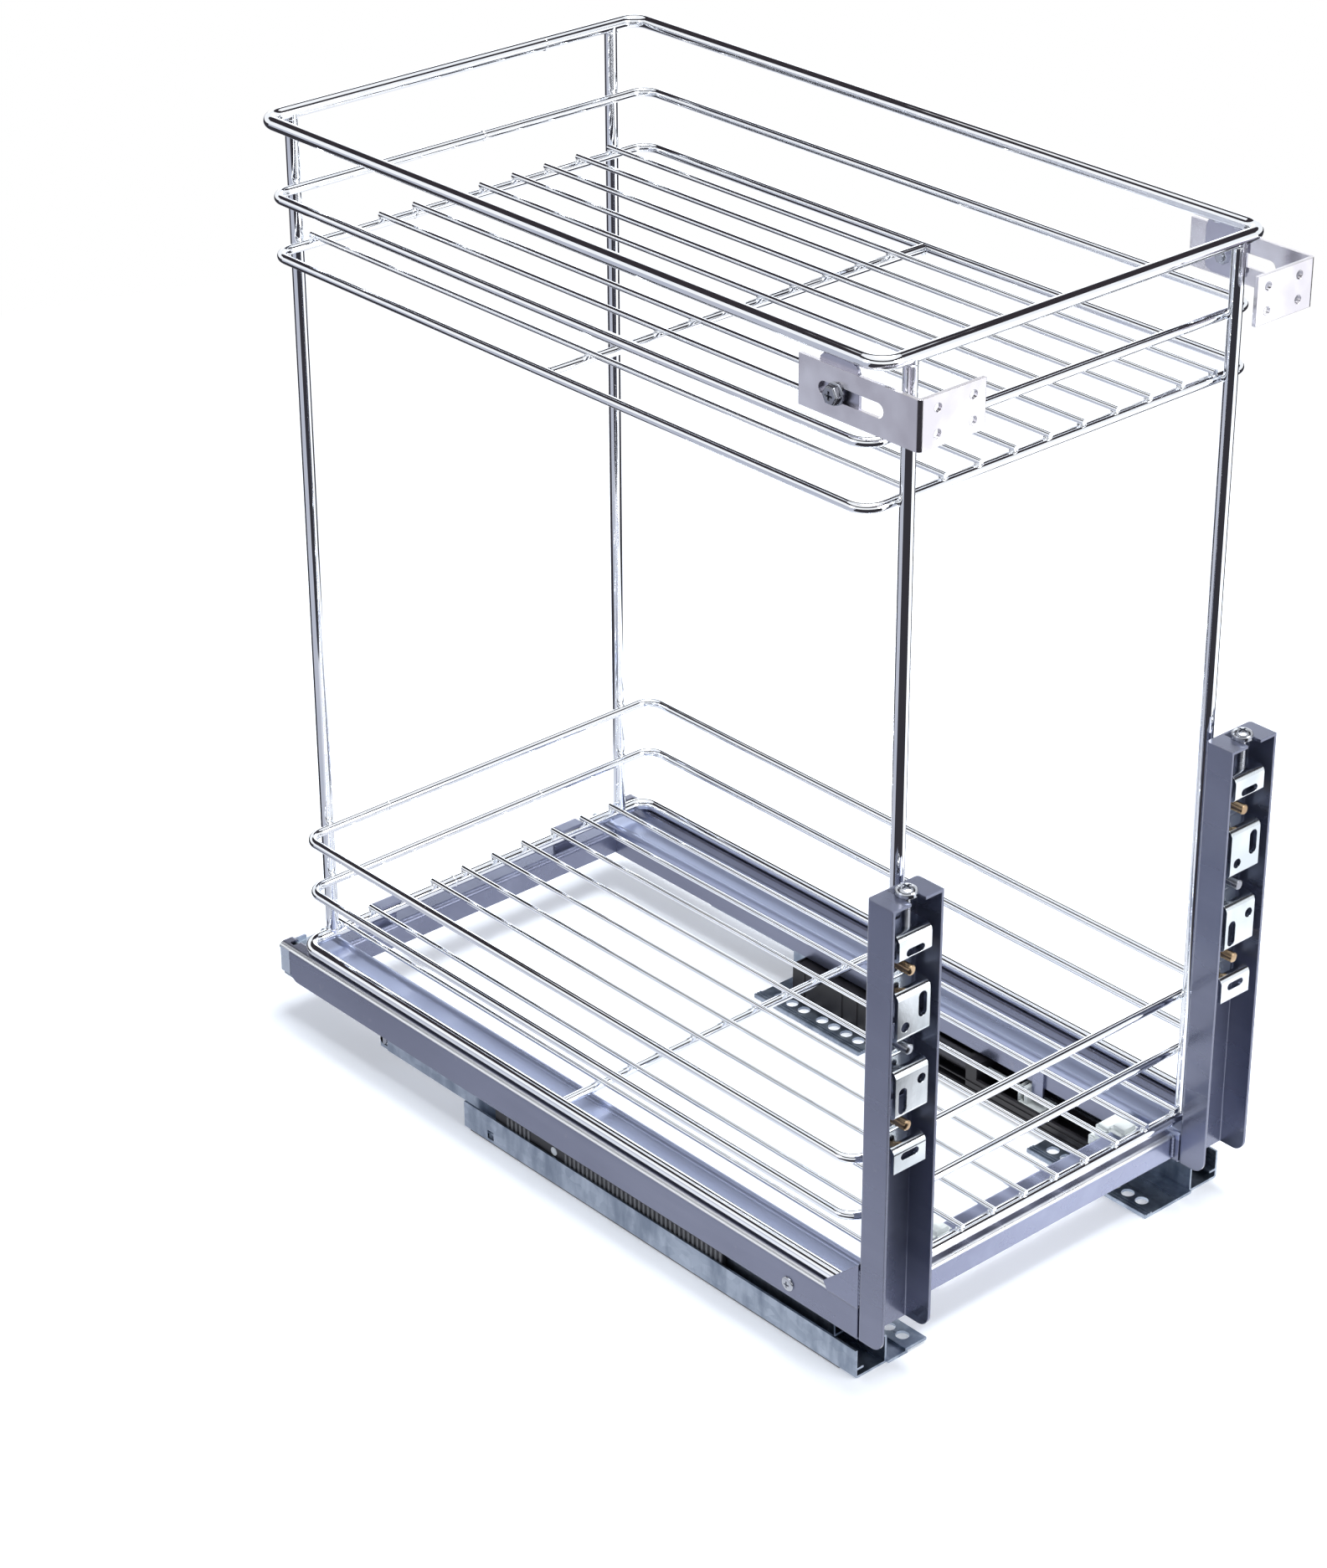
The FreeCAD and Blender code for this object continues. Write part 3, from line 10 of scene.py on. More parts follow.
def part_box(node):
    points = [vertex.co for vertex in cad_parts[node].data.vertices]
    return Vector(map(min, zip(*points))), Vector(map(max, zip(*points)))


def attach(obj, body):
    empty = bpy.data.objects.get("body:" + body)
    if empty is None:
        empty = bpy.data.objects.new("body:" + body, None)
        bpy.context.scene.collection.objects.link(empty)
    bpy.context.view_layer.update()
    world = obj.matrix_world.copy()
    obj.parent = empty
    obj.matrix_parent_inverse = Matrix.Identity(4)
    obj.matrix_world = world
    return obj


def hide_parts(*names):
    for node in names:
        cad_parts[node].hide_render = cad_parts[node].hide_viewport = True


# Looks of the pull-out cargo basket. Forms are given in millimetres from the middle of the basket,
# and at() puts them into the CAD frame in metres: +X right, -Y front, +Z up, with the cabinet rails
# standing on Z = 0. Materials, camera, lamps and floor are given in metres in that frame. What
# follows the CAD part is worked out from the boxes of its nodes, right-hand ones where it has two.

MM = 0.001
SIDES = ((-1, "left"), (1, "right"))
X_AXIS = Vector((1, 0, 0))
Y_AXIS = Vector((0, 1, 0))
Z_AXIS = Vector((0, 0, 1))
WHITE = (1.0, 1.0, 1.0)
RANDOM_SEED = 7
BOX_DIGITS = 3               # boxes are rounded to a micrometre

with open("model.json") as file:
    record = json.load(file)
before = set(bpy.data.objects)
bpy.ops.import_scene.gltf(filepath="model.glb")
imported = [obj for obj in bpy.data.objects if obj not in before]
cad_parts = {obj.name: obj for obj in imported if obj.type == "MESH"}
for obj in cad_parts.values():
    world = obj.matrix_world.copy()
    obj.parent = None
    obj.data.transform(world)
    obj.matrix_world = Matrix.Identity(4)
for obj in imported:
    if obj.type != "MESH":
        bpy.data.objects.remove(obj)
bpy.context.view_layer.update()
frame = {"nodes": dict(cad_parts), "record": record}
random.seed(RANDOM_SEED)
basket_low, basket_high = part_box("top_rail")
# from the middle of the basket to the CAD origin, along Y
PLAN_SHIFT = round((basket_low[1] + basket_high[1]) / 2 / MM, BOX_DIGITS)


def corners(node):
    """Lowest and highest corner of a CAD node, in millimetres from the middle of the basket."""
    return [
        (round(x / MM, BOX_DIGITS), round(y / MM - PLAN_SHIFT, BOX_DIGITS), round(z / MM, BOX_DIGITS))
        for x, y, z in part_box(node)]


def middle(node):
    """Middle of a CAD node's box, measured in the same way."""
    return [round((low + high) / 2, BOX_DIGITS) for low, high in zip(*corners(node))]


def extent(node):
    """Sides of a CAD node's box, in millimetres."""
    return [round(high - low, BOX_DIGITS) for low, high in zip(*corners(node))]


# Wire basket
POST_X, POST_Y = middle("post_rear_right")[:2]
RAIL_D = extent("post_rear_right")[0]        # of the top rail, the base rim and the posts
WIRE_D = extent("upper_cross_wire")[1]       # of the other rings
ring_high = corners("upper_floor_rim")[1]
RING_X = ring_high[0] - WIRE_D / 2
INNER_RING_Y = ring_high[1] - WIRE_D / 2
TOP_Z = middle("top_rail")[2]
UPPER_MIDDLE_Z = middle("upper_middle_rail")[2]
UPPER_RIM_Z = middle("upper_floor_rim")[2]
LOWER_TOP_Z = middle("lower_top_rail")[2]
LOWER_MIDDLE_Z = middle("lower_middle_rail")[2]
BASE_RIM_Z = middle("base_rim")[2]
INNER_RING_ZS = (UPPER_MIDDLE_Z, UPPER_RIM_Z, LOWER_TOP_Z, LOWER_MIDDLE_Z)
FLOOR_COUNT = 10
FLOOR_SIDE_GAP = 5.9         # from the middle of a post to the outermost floor wire
FLOOR_PITCH = 2 * (POST_X - FLOOR_SIDE_GAP) / (FLOOR_COUNT - 1)
UPPER_WELD_Z = corners("upper_floor_wires")[0][2]    # where the floor wires touch their rims
LOWER_WELD_Z = corners("lower_floor_wires")[0][2]

# Radii of the welds, and where the ends of a cross wire are welded
RIM_WELD = (2.1, 2.4, 0.9)
CROSS_WELD = (1.9, 2.3, 0.8)
CROSS_END_WELD = (1.7, 3.0, 2.7)
CROSS_END_INSET = 2.2
CROSS_END_DROP = 0.8
POST_WELD = (2.9, 1.3, 2.1)
RAIL_WELD = (3.9, 3.7, 1.1)
WELD_JITTER = 0.12
RAIL_WELD_JITTER = 0.06

# Butt welds that close the rings: X, Z, Y and wire diameter
TOP_SEAM_DROP = 0.32         # keeps the top rail's seam below its upper edge
RING_SEAMS = (
    (59.3, TOP_Z - TOP_SEAM_DROP, POST_Y, RAIL_D),
    (-20.0, BASE_RIM_Z, POST_Y, RAIL_D),
    (-68.4, LOWER_TOP_Z, INNER_RING_Y, WIRE_D),
    (40.0, LOWER_MIDDLE_Z, INNER_RING_Y, WIRE_D),
    (-35.0, UPPER_RIM_Z, INNER_RING_Y, WIRE_D),
    (12.0, UPPER_MIDDLE_Z, INNER_RING_Y, WIRE_D))
SEAM_REACH = 0.9             # half length of a seam
SEAM_END = 0.9               # radius of its ends, as a share of the wire's
SEAM_RISES = ((-0.45, 0.22), (0.0, 0.3), (0.45, 0.22))   # place along the wire, height above it

# Base frame and door channels
side_low, side_high = corners("side_member_right")
channel_low, channel_high = corners("door_channel_right")
FRAME_X = side_high[0]
CHANNEL_X = middle("door_channel_right")[0]
# rows of welds on them: X outwards, Y, lowest Z, pitch, count and radii
FRAME_WELDS = (
    (channel_low[0] - 0.65, side_low[1] + 3.4, side_low[2] + 2.5, 1.8, 7, (0.8, 0.9, 1.3)),
    (FRAME_X - 0.6, side_low[1] - 0.2, side_high[2] + 1.2, 2.2, 9, (0.5, 0.9, 1.4)))

# Screws: a head is radius, height and edge, a cross is reach, width and depth,
# and a thread is outer radius, depth and pitch
DOME_SPAN = 0.86             # share of a quarter turn that a domed head's outline covers
RECESS_TAPER = 0.55          # size of a cross recess at its foot
RECESS_OVER = 0.3            # height of its cutter above the head
THREAD_SEGMENTS = 20
THREAD_M5 = (2.5, 0.4, 0.8)
SEAT_GAP = 0.05              # between a head and what it clamps
FRAME_SCREW_Y, FRAME_SCREW_Z = middle("frame_screws")[1:]
FRAME_SCREW_HEAD = (4.0, 1.4, 0.5)
FRAME_SCREW_CROSS = (2.1, 1.0, 1.0)
HEIGHT_SCREW_Y = middle("height_screw_right")[1]
HEIGHT_SCREW_SEAT_Z = channel_high[2] + SEAT_GAP
HEIGHT_SCREW_HEAD = (5.5, 4.2, 1.6)
HEIGHT_SCREW_CROSS = (3.4, 1.5, 2.2)
HEIGHT_SCREW_LENGTH = 23.3
CLAMP_SEAT_X = corners("top_bracket_right")[1][0] + SEAT_GAP
CLAMP_Y, CLAMP_Z = middle("clamp_screws")[1:]
CLAMP_FLANGE = ((5.3, 0), (5.3, 0.8), (4.9, 1.0))
CLAMP_HEXAGON = ((4.75, 0.9), (4.75, 3.7), (4.1, 4.5), (2.6, 4.6))
CLAMP_CROSS = (2.4, 1.1, 1.8)
CLAMP_LENGTH = 8.55

# Strip screws, whose ends point forward
STUD_R = 2.0
STUD_HEAD_R = 3.7
stud_low, stud_high = corners("strip_screws_brass")
STUD_ZS = (stud_high[2] - STUD_HEAD_R, middle("strip_screws_zinc")[2], stud_low[2] + STUD_HEAD_R)
STUD_THREAD = (2.75, 0.32, 0.8)
STUD_THREAD_Y = stud_low[1] + 10.1
STUD_THREAD_LENGTH = 9.8
# its tip, shank and head: Y, direction along Y, profile and segments
STUD_FORMS = (
    (stud_low[1] + 0.35, -1, ((2.4, 0.0), (2.3, 0.3), (1.6, 0.55)), 20),
    (stud_high[1] - 0.1, -1, ((STUD_R, 0.0), (STUD_R, 5.7)), 20),
    (stud_high[1] + 2.7, 1,
     ((STUD_R, 0.0), (STUD_HEAD_R, 0.2), (STUD_HEAD_R, 1.4), (3.2, 1.8)), 24))

# Ears of the top brackets
ear_low, ear_high = corners("bracket_ear_right")
EAR_T = extent("bracket_ear_right")[0]
EAR_INTO_RAIL = 1.0
EAR_CUT = 3.2                # size of the cut corners
EAR_ROUNDING = 1.2
EAR_WELD = (1.4, 3.2, 1.1)
EAR_WELD_INSET = 6.5
EAR_WELD_DEPTH = 1.6         # from the ear's outer face inwards
EAR_WELD_RISE = 0.1

# Slides
cage_low, cage_high = corners("lower_cage_right")
CAGE_WALL_X = cage_high[0]
CAGE_RIB_X = (CAGE_WALL_X - 0.2, CAGE_WALL_X + 0.4)
CAGE_RIB_Z = (cage_low[2] + 0.2, cage_high[2] - 0.2)
CAGE_RIB_HALF = 0.9
CAGE_RIB_PITCH = 3.4
CAGE_RIB_ROWS = ((cage_low[1] + 1.4, 36), (cage_high[1] - 27.5, 6))     # first rib and count
CAGE_RIB_BEVEL = 0.18
BUTTON_Y = 2.0
BUTTON_Z = 19.3
BUTTON_PROFILE = ((2.4, -0.2), (2.4, 0.25), (2.1, 0.45), (0.0001, 0.5))
middle_low, middle_high = corners("middle_rail_right")
REAR_LUG = (middle_high[0], middle_high[1] - 2.4, middle_low[2] + 6.2)
REAR_LUG_PROFILE = ((2.6, 0.0), (2.8, 0.3), (2.8, 3.2), (2.5, 3.6))
rail_low, rail_high = corners("cabinet_rail_right")
# dark strip at the foot of a cabinet rail's outer wall: painted shadow of the gap under the rail
RAIL_SHADOW_X = (rail_high[0] - 1.6, rail_high[0] - 0.25)
RAIL_SHADOW_Y = (rail_low[1] + 11.5, rail_high[1] - 4.5)
RAIL_SHADOW_Z = (rail_low[2], rail_low[2] + 0.8)
RAIL_SHADOW_BEVEL = 0.15

# Nylon stop blocks: corners measured from the block's X, bevel and its segments
block_low, block_high = corners("nylon_blocks")
NYLON_XS = (block_low[0] + 8.0, block_high[0] - 14.0)
NYLON_FORMS = (
    ((-8, block_low[1], block_low[2]), (8, block_low[1] + 10.0, 38.4), 1.5, 2),
    ((-10, -210.0, 37.9), (3.5, block_low[1] - 0.2, 43.4), 2.6, 6),
    ((-8, block_high[1] - 7.0, block_low[2]), (8, block_high[1], block_low[2] + 6.0), 0.8, 2))

# Damper
DAMPER_INNER_X, DAMPER_FRONT_Y = corners("damper_housing")[0][:2]
DAMPER_OUTER_X, DAMPER_REAR_Y, DAMPER_TOP_Z = corners("damper_housing")[1]
DAMPER_MIDDLE_X = (DAMPER_INNER_X + DAMPER_OUTER_X) / 2
cylinder_low, cylinder_high = corners("damper_cylinder")
CYLINDER_Z = middle("damper_cylinder")[2]
DAMPER_BLOCK_Y = cylinder_high[1]            # where the housing's rear block starts
DAMPER_RIM_WIDTH = 1.6
DAMPER_RIM_BEVEL = 0.2
DAMPER_RIM_Z = (DAMPER_TOP_Z, DAMPER_TOP_Z + 0.6)
DAMPER_RIB_X = (DAMPER_INNER_X - 0.5, DAMPER_INNER_X + 0.4)
DAMPER_RIB_BEVEL = 0.15
LONG_RIB_Y = (DAMPER_FRONT_Y + 4, DAMPER_BLOCK_Y - 2)
LONG_RIB_ZS = ((5.6, 6.4), (9.6, 10.4))
BLOCK_RIB_YS = (2.0, 14.0, 44.0)
BLOCK_RIB_WIDTH = 1.4
BLOCK_RIB_Z = (4.5, DAMPER_TOP_Z - 1.0)
TOP_RIB_Y = (2.0, 45.4)
TOP_RIB_Z = (DAMPER_TOP_Z - 2.2, DAMPER_TOP_Z - 1.0)
COLLAR_YS = (cylinder_high[1] - 3.2, cylinder_low[1])
COLLAR_PROFILE = ((6.6, 0.0), (7.1, 0.3), (7.1, 2.9), (6.6, 3.2))
# fittings of its catch: corners measured from the damper's middle
CATCH_TAB = (
    ((-4.5, -123.2, 12.0), (-3.0, -119.4, 20.6)),
    ((3.0, -123.2, 12.0), (4.5, -119.4, 20.6)),
    ((-4.5, -120.6, 12.0), (4.5, -119.4, 21.6)))
CATCH_TAB_BEVEL = 0.25
CATCH_FINGER = ((-5.5, -118.2, 7.0), (5.5, -116.4, 20.8))
CATCH_FINGER_BEVEL = 0.5

# Paint of the frame
COAT_DARK = (0.20, 0.215, 0.31)
COAT_LIGHT = (0.25, 0.27, 0.38)
COAT_WORN = (0.31, 0.335, 0.45)
COAT_RUBBED = (0.33, 0.34, 0.42)
# folds with a painted highlight and painted shade beside them: axis across the fold, its distance
# from the middle, its top
member_low, member_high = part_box("front_member")
SIDE_FOLD = (X_AXIS, FRAME_X * MM, side_high[2] * MM)
FRONT_FOLD = (Y_AXIS, -member_low[1], member_high[2])
FOLD_HIGHLIGHT_COLOUR = (0.97, 0.98, 1.0)
# dark flange top beside a fold, where the ring above shades it: painted shade
FLANGE_SHADE_COLOUR = (0.10, 0.095, 0.13)
FLANGE_SHADE_SHARE = 0.6
# painted highlight on a fold and painted shade on the flange beside it: distances inwards and
# down at which each starts and is full
FOLD_INWARD = (0.0026, 0.0018)
FOLD_DOWN = (0.0022, 0.0014)
FLANGE_INWARD = (0.0125, 0.0115)
FLANGE_DOWN = (0.0012, 0.0006)
# painted sheen that makes the trough of a side member pale, and its rear cap: ranges over which
# the colour changes
TROUGH_SHEEN_COLOUR = (0.44, 0.49, 0.68)
TROUGH_SHEEN_SHARE = 0.8
TROUGH_X = (FRAME_X * MM - 0.013, FRAME_X * MM - 0.012)
TROUGH_Z = (side_high[2] * MM - 0.0073, side_high[2] * MM - 0.0063)
CAP_COLOUR = (0.62, 0.69, 0.77)
CAP_SHARE = 0.9
CAP_Y = (0.2330, 0.2332)
CAP_Z = (side_high[2] * MM - 0.0023, side_high[2] * MM - 0.0013)

# Chrome and galvanised steel
CHROME_DARK = (0.88, 0.91, 0.96)
CHROME_LIGHT = (0.96, 0.97, 0.99)
SPANGLE_DARK = (0.30, 0.35, 0.43)
SPANGLE_LIGHT = (0.40, 0.455, 0.54)
DULL_ZINC = (0.18, 0.22, 0.29)

# Other metals: name, dark and light colour, lowest and highest roughness
PLATES = {
    "plated_steel": ("nickel_plate", (0.72, 0.69, 0.73), (0.92, 0.90, 0.94), 0.10, 0.24),
    "strip_plate": ("strip_plate", (0.64, 0.69, 0.73), (0.82, 0.86, 0.90), 0.08, 0.20),
    "screw_steel": ("zinc_plate", (0.32, 0.33, 0.37), (0.54, 0.56, 0.61), 0.12, 0.24),
    "brass": ("yellow_zinc", (0.30, 0.19, 0.11), (0.56, 0.41, 0.26), 0.12, 0.24),
    "damper_metal": ("damper_tube", (0.045, 0.045, 0.050), (0.075, 0.075, 0.085), 0.25, 0.4),
    "ear_plate": ("ear_plate", (0.50, 0.50, 0.60), (0.60, 0.60, 0.71), 0.26, 0.36),
}
# Plastics: the same, and the weight of light passing below the surface
PLASTICS = {
    "cage_plastic": ("cage_plastic", (0.012, 0.012, 0.015), (0.020, 0.020, 0.024), 0.40, 0.60),
    # ribs in a lighter copy of the cage plastic: painted light on their tops
    "cage_ribs_painted_light": ("cage_ribs_painted_light", (0.10, 0.10, 0.105), (0.14, 0.14, 0.145), 0.35, 0.50),
    "damper_plastic": ("damper_plastic", (0.008, 0.007, 0.009), (0.014, 0.012, 0.015), 0.34, 0.48),
    "roller_plastic": ("roller_plastic", (0.55, 0.56, 0.56), (0.66, 0.67, 0.67), 0.35, 0.5, 0.1),
    "nylon": ("nylon", (0.84, 0.87, 0.83), (0.92, 0.94, 0.90), 0.30, 0.45, 0.1),
}
LIGHT_DEPTH = (0.004, 0.004, 0.004)

# Finishes that are a shade of a recorded slot, and the CAD nodes that wear one. The coats of the
# channels and side members are darker copies of the powder coat, painted shade, and the front
# member's is a lighter copy, painted light
SHADE_OF = {
    "door_strip_left": "strip_plate", "door_strip_right": "strip_plate",
    "door_channel_left": "channel_coat_painted_shade", "door_channel_right": "channel_coat_painted_shade",
    "side_member_left": "side_coat_painted_light_and_shade", "side_member_right": "side_coat_painted_light_and_shade",
    "front_member": "member_coat_painted_light_and_shade",
}

# Smooth shading, in degrees
SMOOTH_ANGLE = 40.0
WELD_ANGLE = 60.0
SCREW_ANGLE = 35.0
HEXAGON_ANGLE = 25.0
THREAD_ANGLE = 30.0


# Nodes

def add_node(tree, kind, **values):
    """A node with input values set by name."""
    node = tree.nodes.new(kind)
    for name, value in values.items():
        node.inputs[name].default_value = value
    return node


def math_node(tree, operation, *values):
    """Output of a math node; values are outputs or numbers."""
    node = tree.nodes.new("ShaderNodeMath")
    node.operation = operation
    for socket, value in zip(node.inputs, values):
        if isinstance(value, float):
            socket.default_value = value
        else:
            tree.links.new(value, socket)
    return node.outputs[0]


def product(tree, first, second):
    """Product of two values."""
    return math_node(tree, "MULTIPLY", first, second)


def either(tree, first, second):
    """The larger of two values."""
    return math_node(tree, "MAXIMUM", first, second)


def size_of(tree, value):
    """A value without its sign."""
    return math_node(tree, "ABSOLUTE", value)


def weighted(tree, vector, weights):
    """Dot product of a vector output with constant weights."""
    node = tree.nodes.new("ShaderNodeVectorMath")
    node.operation = "DOT_PRODUCT"
    node.inputs[1].default_value = weights
    tree.links.new(vector, node.inputs[0])
    return node.outputs["Value"]


def spread(tree, value, low, high, start=0.3, end=0.7):
    """Value remapped from start..end to low..high."""
    node = tree.nodes.new("ShaderNodeMapRange")
    ends = (("From Min", start), ("From Max", end), ("To Min", low), ("To Max", high))
    for name, number in ends:
        node.inputs[name].default_value = number
    tree.links.new(value, node.inputs["Value"])
    return node.outputs["Result"]


def ramp(tree, value, stops):
    """Colour ramp over a value; stops are (position, colour) pairs."""
    made = tree.nodes.new("ShaderNodeValToRGB")
    elements = made.color_ramp.elements
    while len(elements) < len(stops):
        elements.new(0.5)
    for element, (position, colour) in zip(elements, stops):
        element.position = position
        element.color = (*colour, 1.0)
    tree.links.new(value, made.inputs["Fac"])
    return made.outputs["Color"]


def mixed(tree, factor, first, second):
    """Mix of two colours by a factor."""
    node = tree.nodes.new("ShaderNodeMix")
    node.data_type = "RGBA"
    for socket, value in ((node.inputs["A"], first), (node.inputs["B"], second)):
        if isinstance(value, tuple):
            socket.default_value = (*value, 1.0)
        else:
            tree.links.new(value, socket)
    tree.links.new(factor, node.inputs["Factor"])
    return node.outputs["Result"]


def mixed_shaders(tree, factor, first, second):
    """Mix of two shaders by a factor."""
    node = tree.nodes.new("ShaderNodeMixShader")
    tree.links.new(factor, node.inputs["Fac"])
    tree.links.new(first, node.inputs[1])
    tree.links.new(second, node.inputs[2])
    return node.outputs["Shader"]


def object_coordinates(tree, stretch=(1, 1, 1)):
    """Coordinates that ride with the object, stretched per axis."""
    coordinates = tree.nodes.new("ShaderNodeTexCoord")
    mapping = add_node(tree, "ShaderNodeMapping", Scale=stretch)
    tree.links.new(coordinates.outputs["Object"], mapping.inputs["Vector"])
    return mapping.outputs["Vector"]


def noise(tree, scale, detail=3.0, stretch=(1, 1, 1)):
    """Value of a noise texture with its scale in repeats per metre."""
    texture = add_node(tree, "ShaderNodeTexNoise", Scale=scale, Detail=detail)
    tree.links.new(object_coordinates(tree, stretch), texture.inputs["Vector"])
    return texture.outputs["Fac"]


def bump(tree, shader, value, strength, distance, edge=0.0):
    """Bump from a value; edge is the radius over which sharp edges look rounded."""
    node = add_node(tree, "ShaderNodeBump", Strength=strength, Distance=distance)
    tree.links.new(value, node.inputs["Height"])
    if edge > 0:
        rounding = add_node(tree, "ShaderNodeBevel", Radius=edge)
        rounding.samples = 4
        tree.links.new(rounding.outputs["Normal"], node.inputs["Normal"])
    tree.links.new(node.outputs["Normal"], shader.inputs["Normal"])


def past(tree, value, level, fade, share=1.0):
    """A mark near a level: 0 at the first distance below it, and its share at the second."""
    return spread(tree, value, 0.0, share, level - fade[0], level - fade[1])


# Materials

def new_material(name):
    """A node material with its tree and its principled shader."""
    made = bpy.data.materials.new(name)
    made.use_nodes = True
    tree = made.node_tree
    return made, tree, tree.nodes["Principled BSDF"]


def chrome():
    """Polished chrome plate with faint haze and slight waves from drawing."""
    made, tree, shader = new_material("chrome_plate")
    haze = noise(tree, scale=35)
    waves = noise(tree, scale=45, detail=1.0)
    colour = ramp(tree, haze, [(0.3, CHROME_DARK), (0.7, CHROME_LIGHT)])
    tree.links.new(colour, shader.inputs["Base Color"])
    shader.inputs["Metallic"].default_value = 1.0
    tree.links.new(spread(tree, haze, low=0.02, high=0.05), shader.inputs["Roughness"])
    bump(tree, shader, waves, strength=0.25, distance=0.0004)
    return made


def fold_highlight_and_shade(tree, colour, axis, edge, top):
    """Painted highlight along the fold at a distance edge from the middle, painted shade on its
    flange.
    """
    place = object_coordinates(tree)
    outward = size_of(tree, weighted(tree, place, axis))
    height = weighted(tree, place, Z_AXIS)
    near_edge = past(tree, outward, edge, FOLD_INWARD)
    fold_highlight_mask = product(tree, near_edge, past(tree, height, top, FOLD_DOWN))
    near_top = past(tree, height, top, FLANGE_DOWN, FLANGE_SHADE_SHARE)
    flange_shade_mask = product(tree, near_top, past(tree, outward, edge, FLANGE_INWARD))
    with_flange_shade = mixed(tree, flange_shade_mask, colour, FLANGE_SHADE_COLOUR)
    return mixed(tree, fold_highlight_mask, with_flange_shade, FOLD_HIGHLIGHT_COLOUR)


def side_sheen_and_cap(tree, colour):
    """Painted sheen that makes the trough of a side member pale, and bare bright metal on its rear
    cap.
    """
    place = object_coordinates(tree)
    outward = size_of(tree, weighted(tree, place, X_AXIS))
    height = weighted(tree, place, Z_AXIS)
    back = weighted(tree, place, Y_AXIS)
    inboard = spread(tree, outward, TROUGH_SHEEN_SHARE, 0.0, *TROUGH_X)
    trough_sheen_mask = product(tree, inboard, spread(tree, height, 0.0, 1.0, *TROUGH_Z))
    with_trough_sheen = mixed(tree, trough_sheen_mask, colour, TROUGH_SHEEN_COLOUR)
    below_top = spread(tree, height, CAP_SHARE, 0.0, *CAP_Z)
    on_cap = product(tree, below_top, spread(tree, back, 0.0, 1.0, *CAP_Y))
    return mixed(tree, on_cap, with_trough_sheen, CAP_COLOUR)


def shaded(colour, shade):
    """A colour made darker or lighter by a factor."""
    return tuple(part * shade for part in colour)


def powder_coat(name, shade=1.0, fold=None, marks=None):
    """Blue-grey satin powder coat with faint orange peel, soft clouds and a few rubbed marks.
    A shade below 1 makes a copy with painted shade, above 1 a copy with painted light.
    """
    made, tree, shader = new_material(name)
    peel = noise(tree, scale=700, detail=1.0)
    cloud = noise(tree, scale=11, detail=3.0)
    streaks = noise(tree, scale=45, detail=3.0, stretch=(1, 0.12, 1))
    rubbed = noise(tree, scale=85, detail=5.0)
    base = ramp(tree, cloud, [(0.3, shaded(COAT_DARK, shade)), (0.7, shaded(COAT_LIGHT, shade))])
    wear = spread(tree, streaks, low=0.0, high=0.45, start=0.52, end=0.72)
    worn = mixed(tree, wear, base, shaded(COAT_WORN, shade))
    rubs = spread(tree, rubbed, low=0.0, high=0.5, start=0.68, end=0.76)
    colour = mixed(tree, rubs, worn, shaded(COAT_RUBBED, shade))
    # a fold gets a painted highlight, and the flange beside it painted shade
    if fold:
        colour = fold_highlight_and_shade(tree, colour, *fold)
    if marks:
        colour = marks(tree, colour)
    tree.links.new(colour, shader.inputs["Base Color"])
    tree.links.new(spread(tree, streaks, low=0.24, high=0.34), shader.inputs["Roughness"])
    shader.inputs["Metallic"].default_value = 0.80
    shader.inputs["Coat Weight"].default_value = 0.6
    shader.inputs["Coat Roughness"].default_value = 0.10
    bump(tree, shader, peel, strength=0.02, distance=0.0002, edge=0.0006)
    return made


def galvanised():
    """Galvanised strip with spangle, rolling streaks and dull patches."""
    made, tree, shader = new_material("galvanised")
    cells = add_node(tree, "ShaderNodeTexVoronoi", Scale=260.0)
    tree.links.new(object_coordinates(tree, (1, 0.6, 1)), cells.inputs["Vector"])
    grain = tree.nodes.new("ShaderNodeSeparateColor")
    tree.links.new(cells.outputs["Color"], grain.inputs["Color"])
    streaks = noise(tree, scale=160, detail=3.0, stretch=(1, 0.05, 1))
    with_flange_shade = noise(tree, scale=110, detail=4.0, stretch=(1, 1, 0.3))
    spangle = ramp(tree, grain.outputs["Red"], [(0.0, SPANGLE_DARK), (1.0, SPANGLE_LIGHT)])
    patches = spread(tree, with_flange_shade, low=0.0, high=0.9, start=0.42, end=0.66)
    tree.links.new(mixed(tree, patches, spangle, DULL_ZINC), shader.inputs["Base Color"])
    shader.inputs["Metallic"].default_value = 0.95
    tree.links.new(spread(tree, streaks, low=0.26, high=0.44), shader.inputs["Roughness"])
    bump(tree, shader, streaks, strength=0.10, distance=0.0002, edge=0.0004)
    return made


def bright_plate(name, dark, light, rough_low, rough_high):
    """Bright plated steel with cloudy stains and faint drawing lines."""
    made, tree, shader = new_material(name)
    cloud = noise(tree, scale=28, detail=3.0)
    lines = noise(tree, scale=300, detail=2.0, stretch=(1, 0.08, 1))
    tree.links.new(ramp(tree, cloud, [(0.38, dark), (0.58, light)]), shader.inputs["Base Color"])
    shader.inputs["Metallic"].default_value = 1.0
    tree.links.new(spread(tree, cloud, rough_high, rough_low), shader.inputs["Roughness"])
    bump(tree, shader, lines, strength=0.05, distance=0.0002, edge=0.0004)
    return made


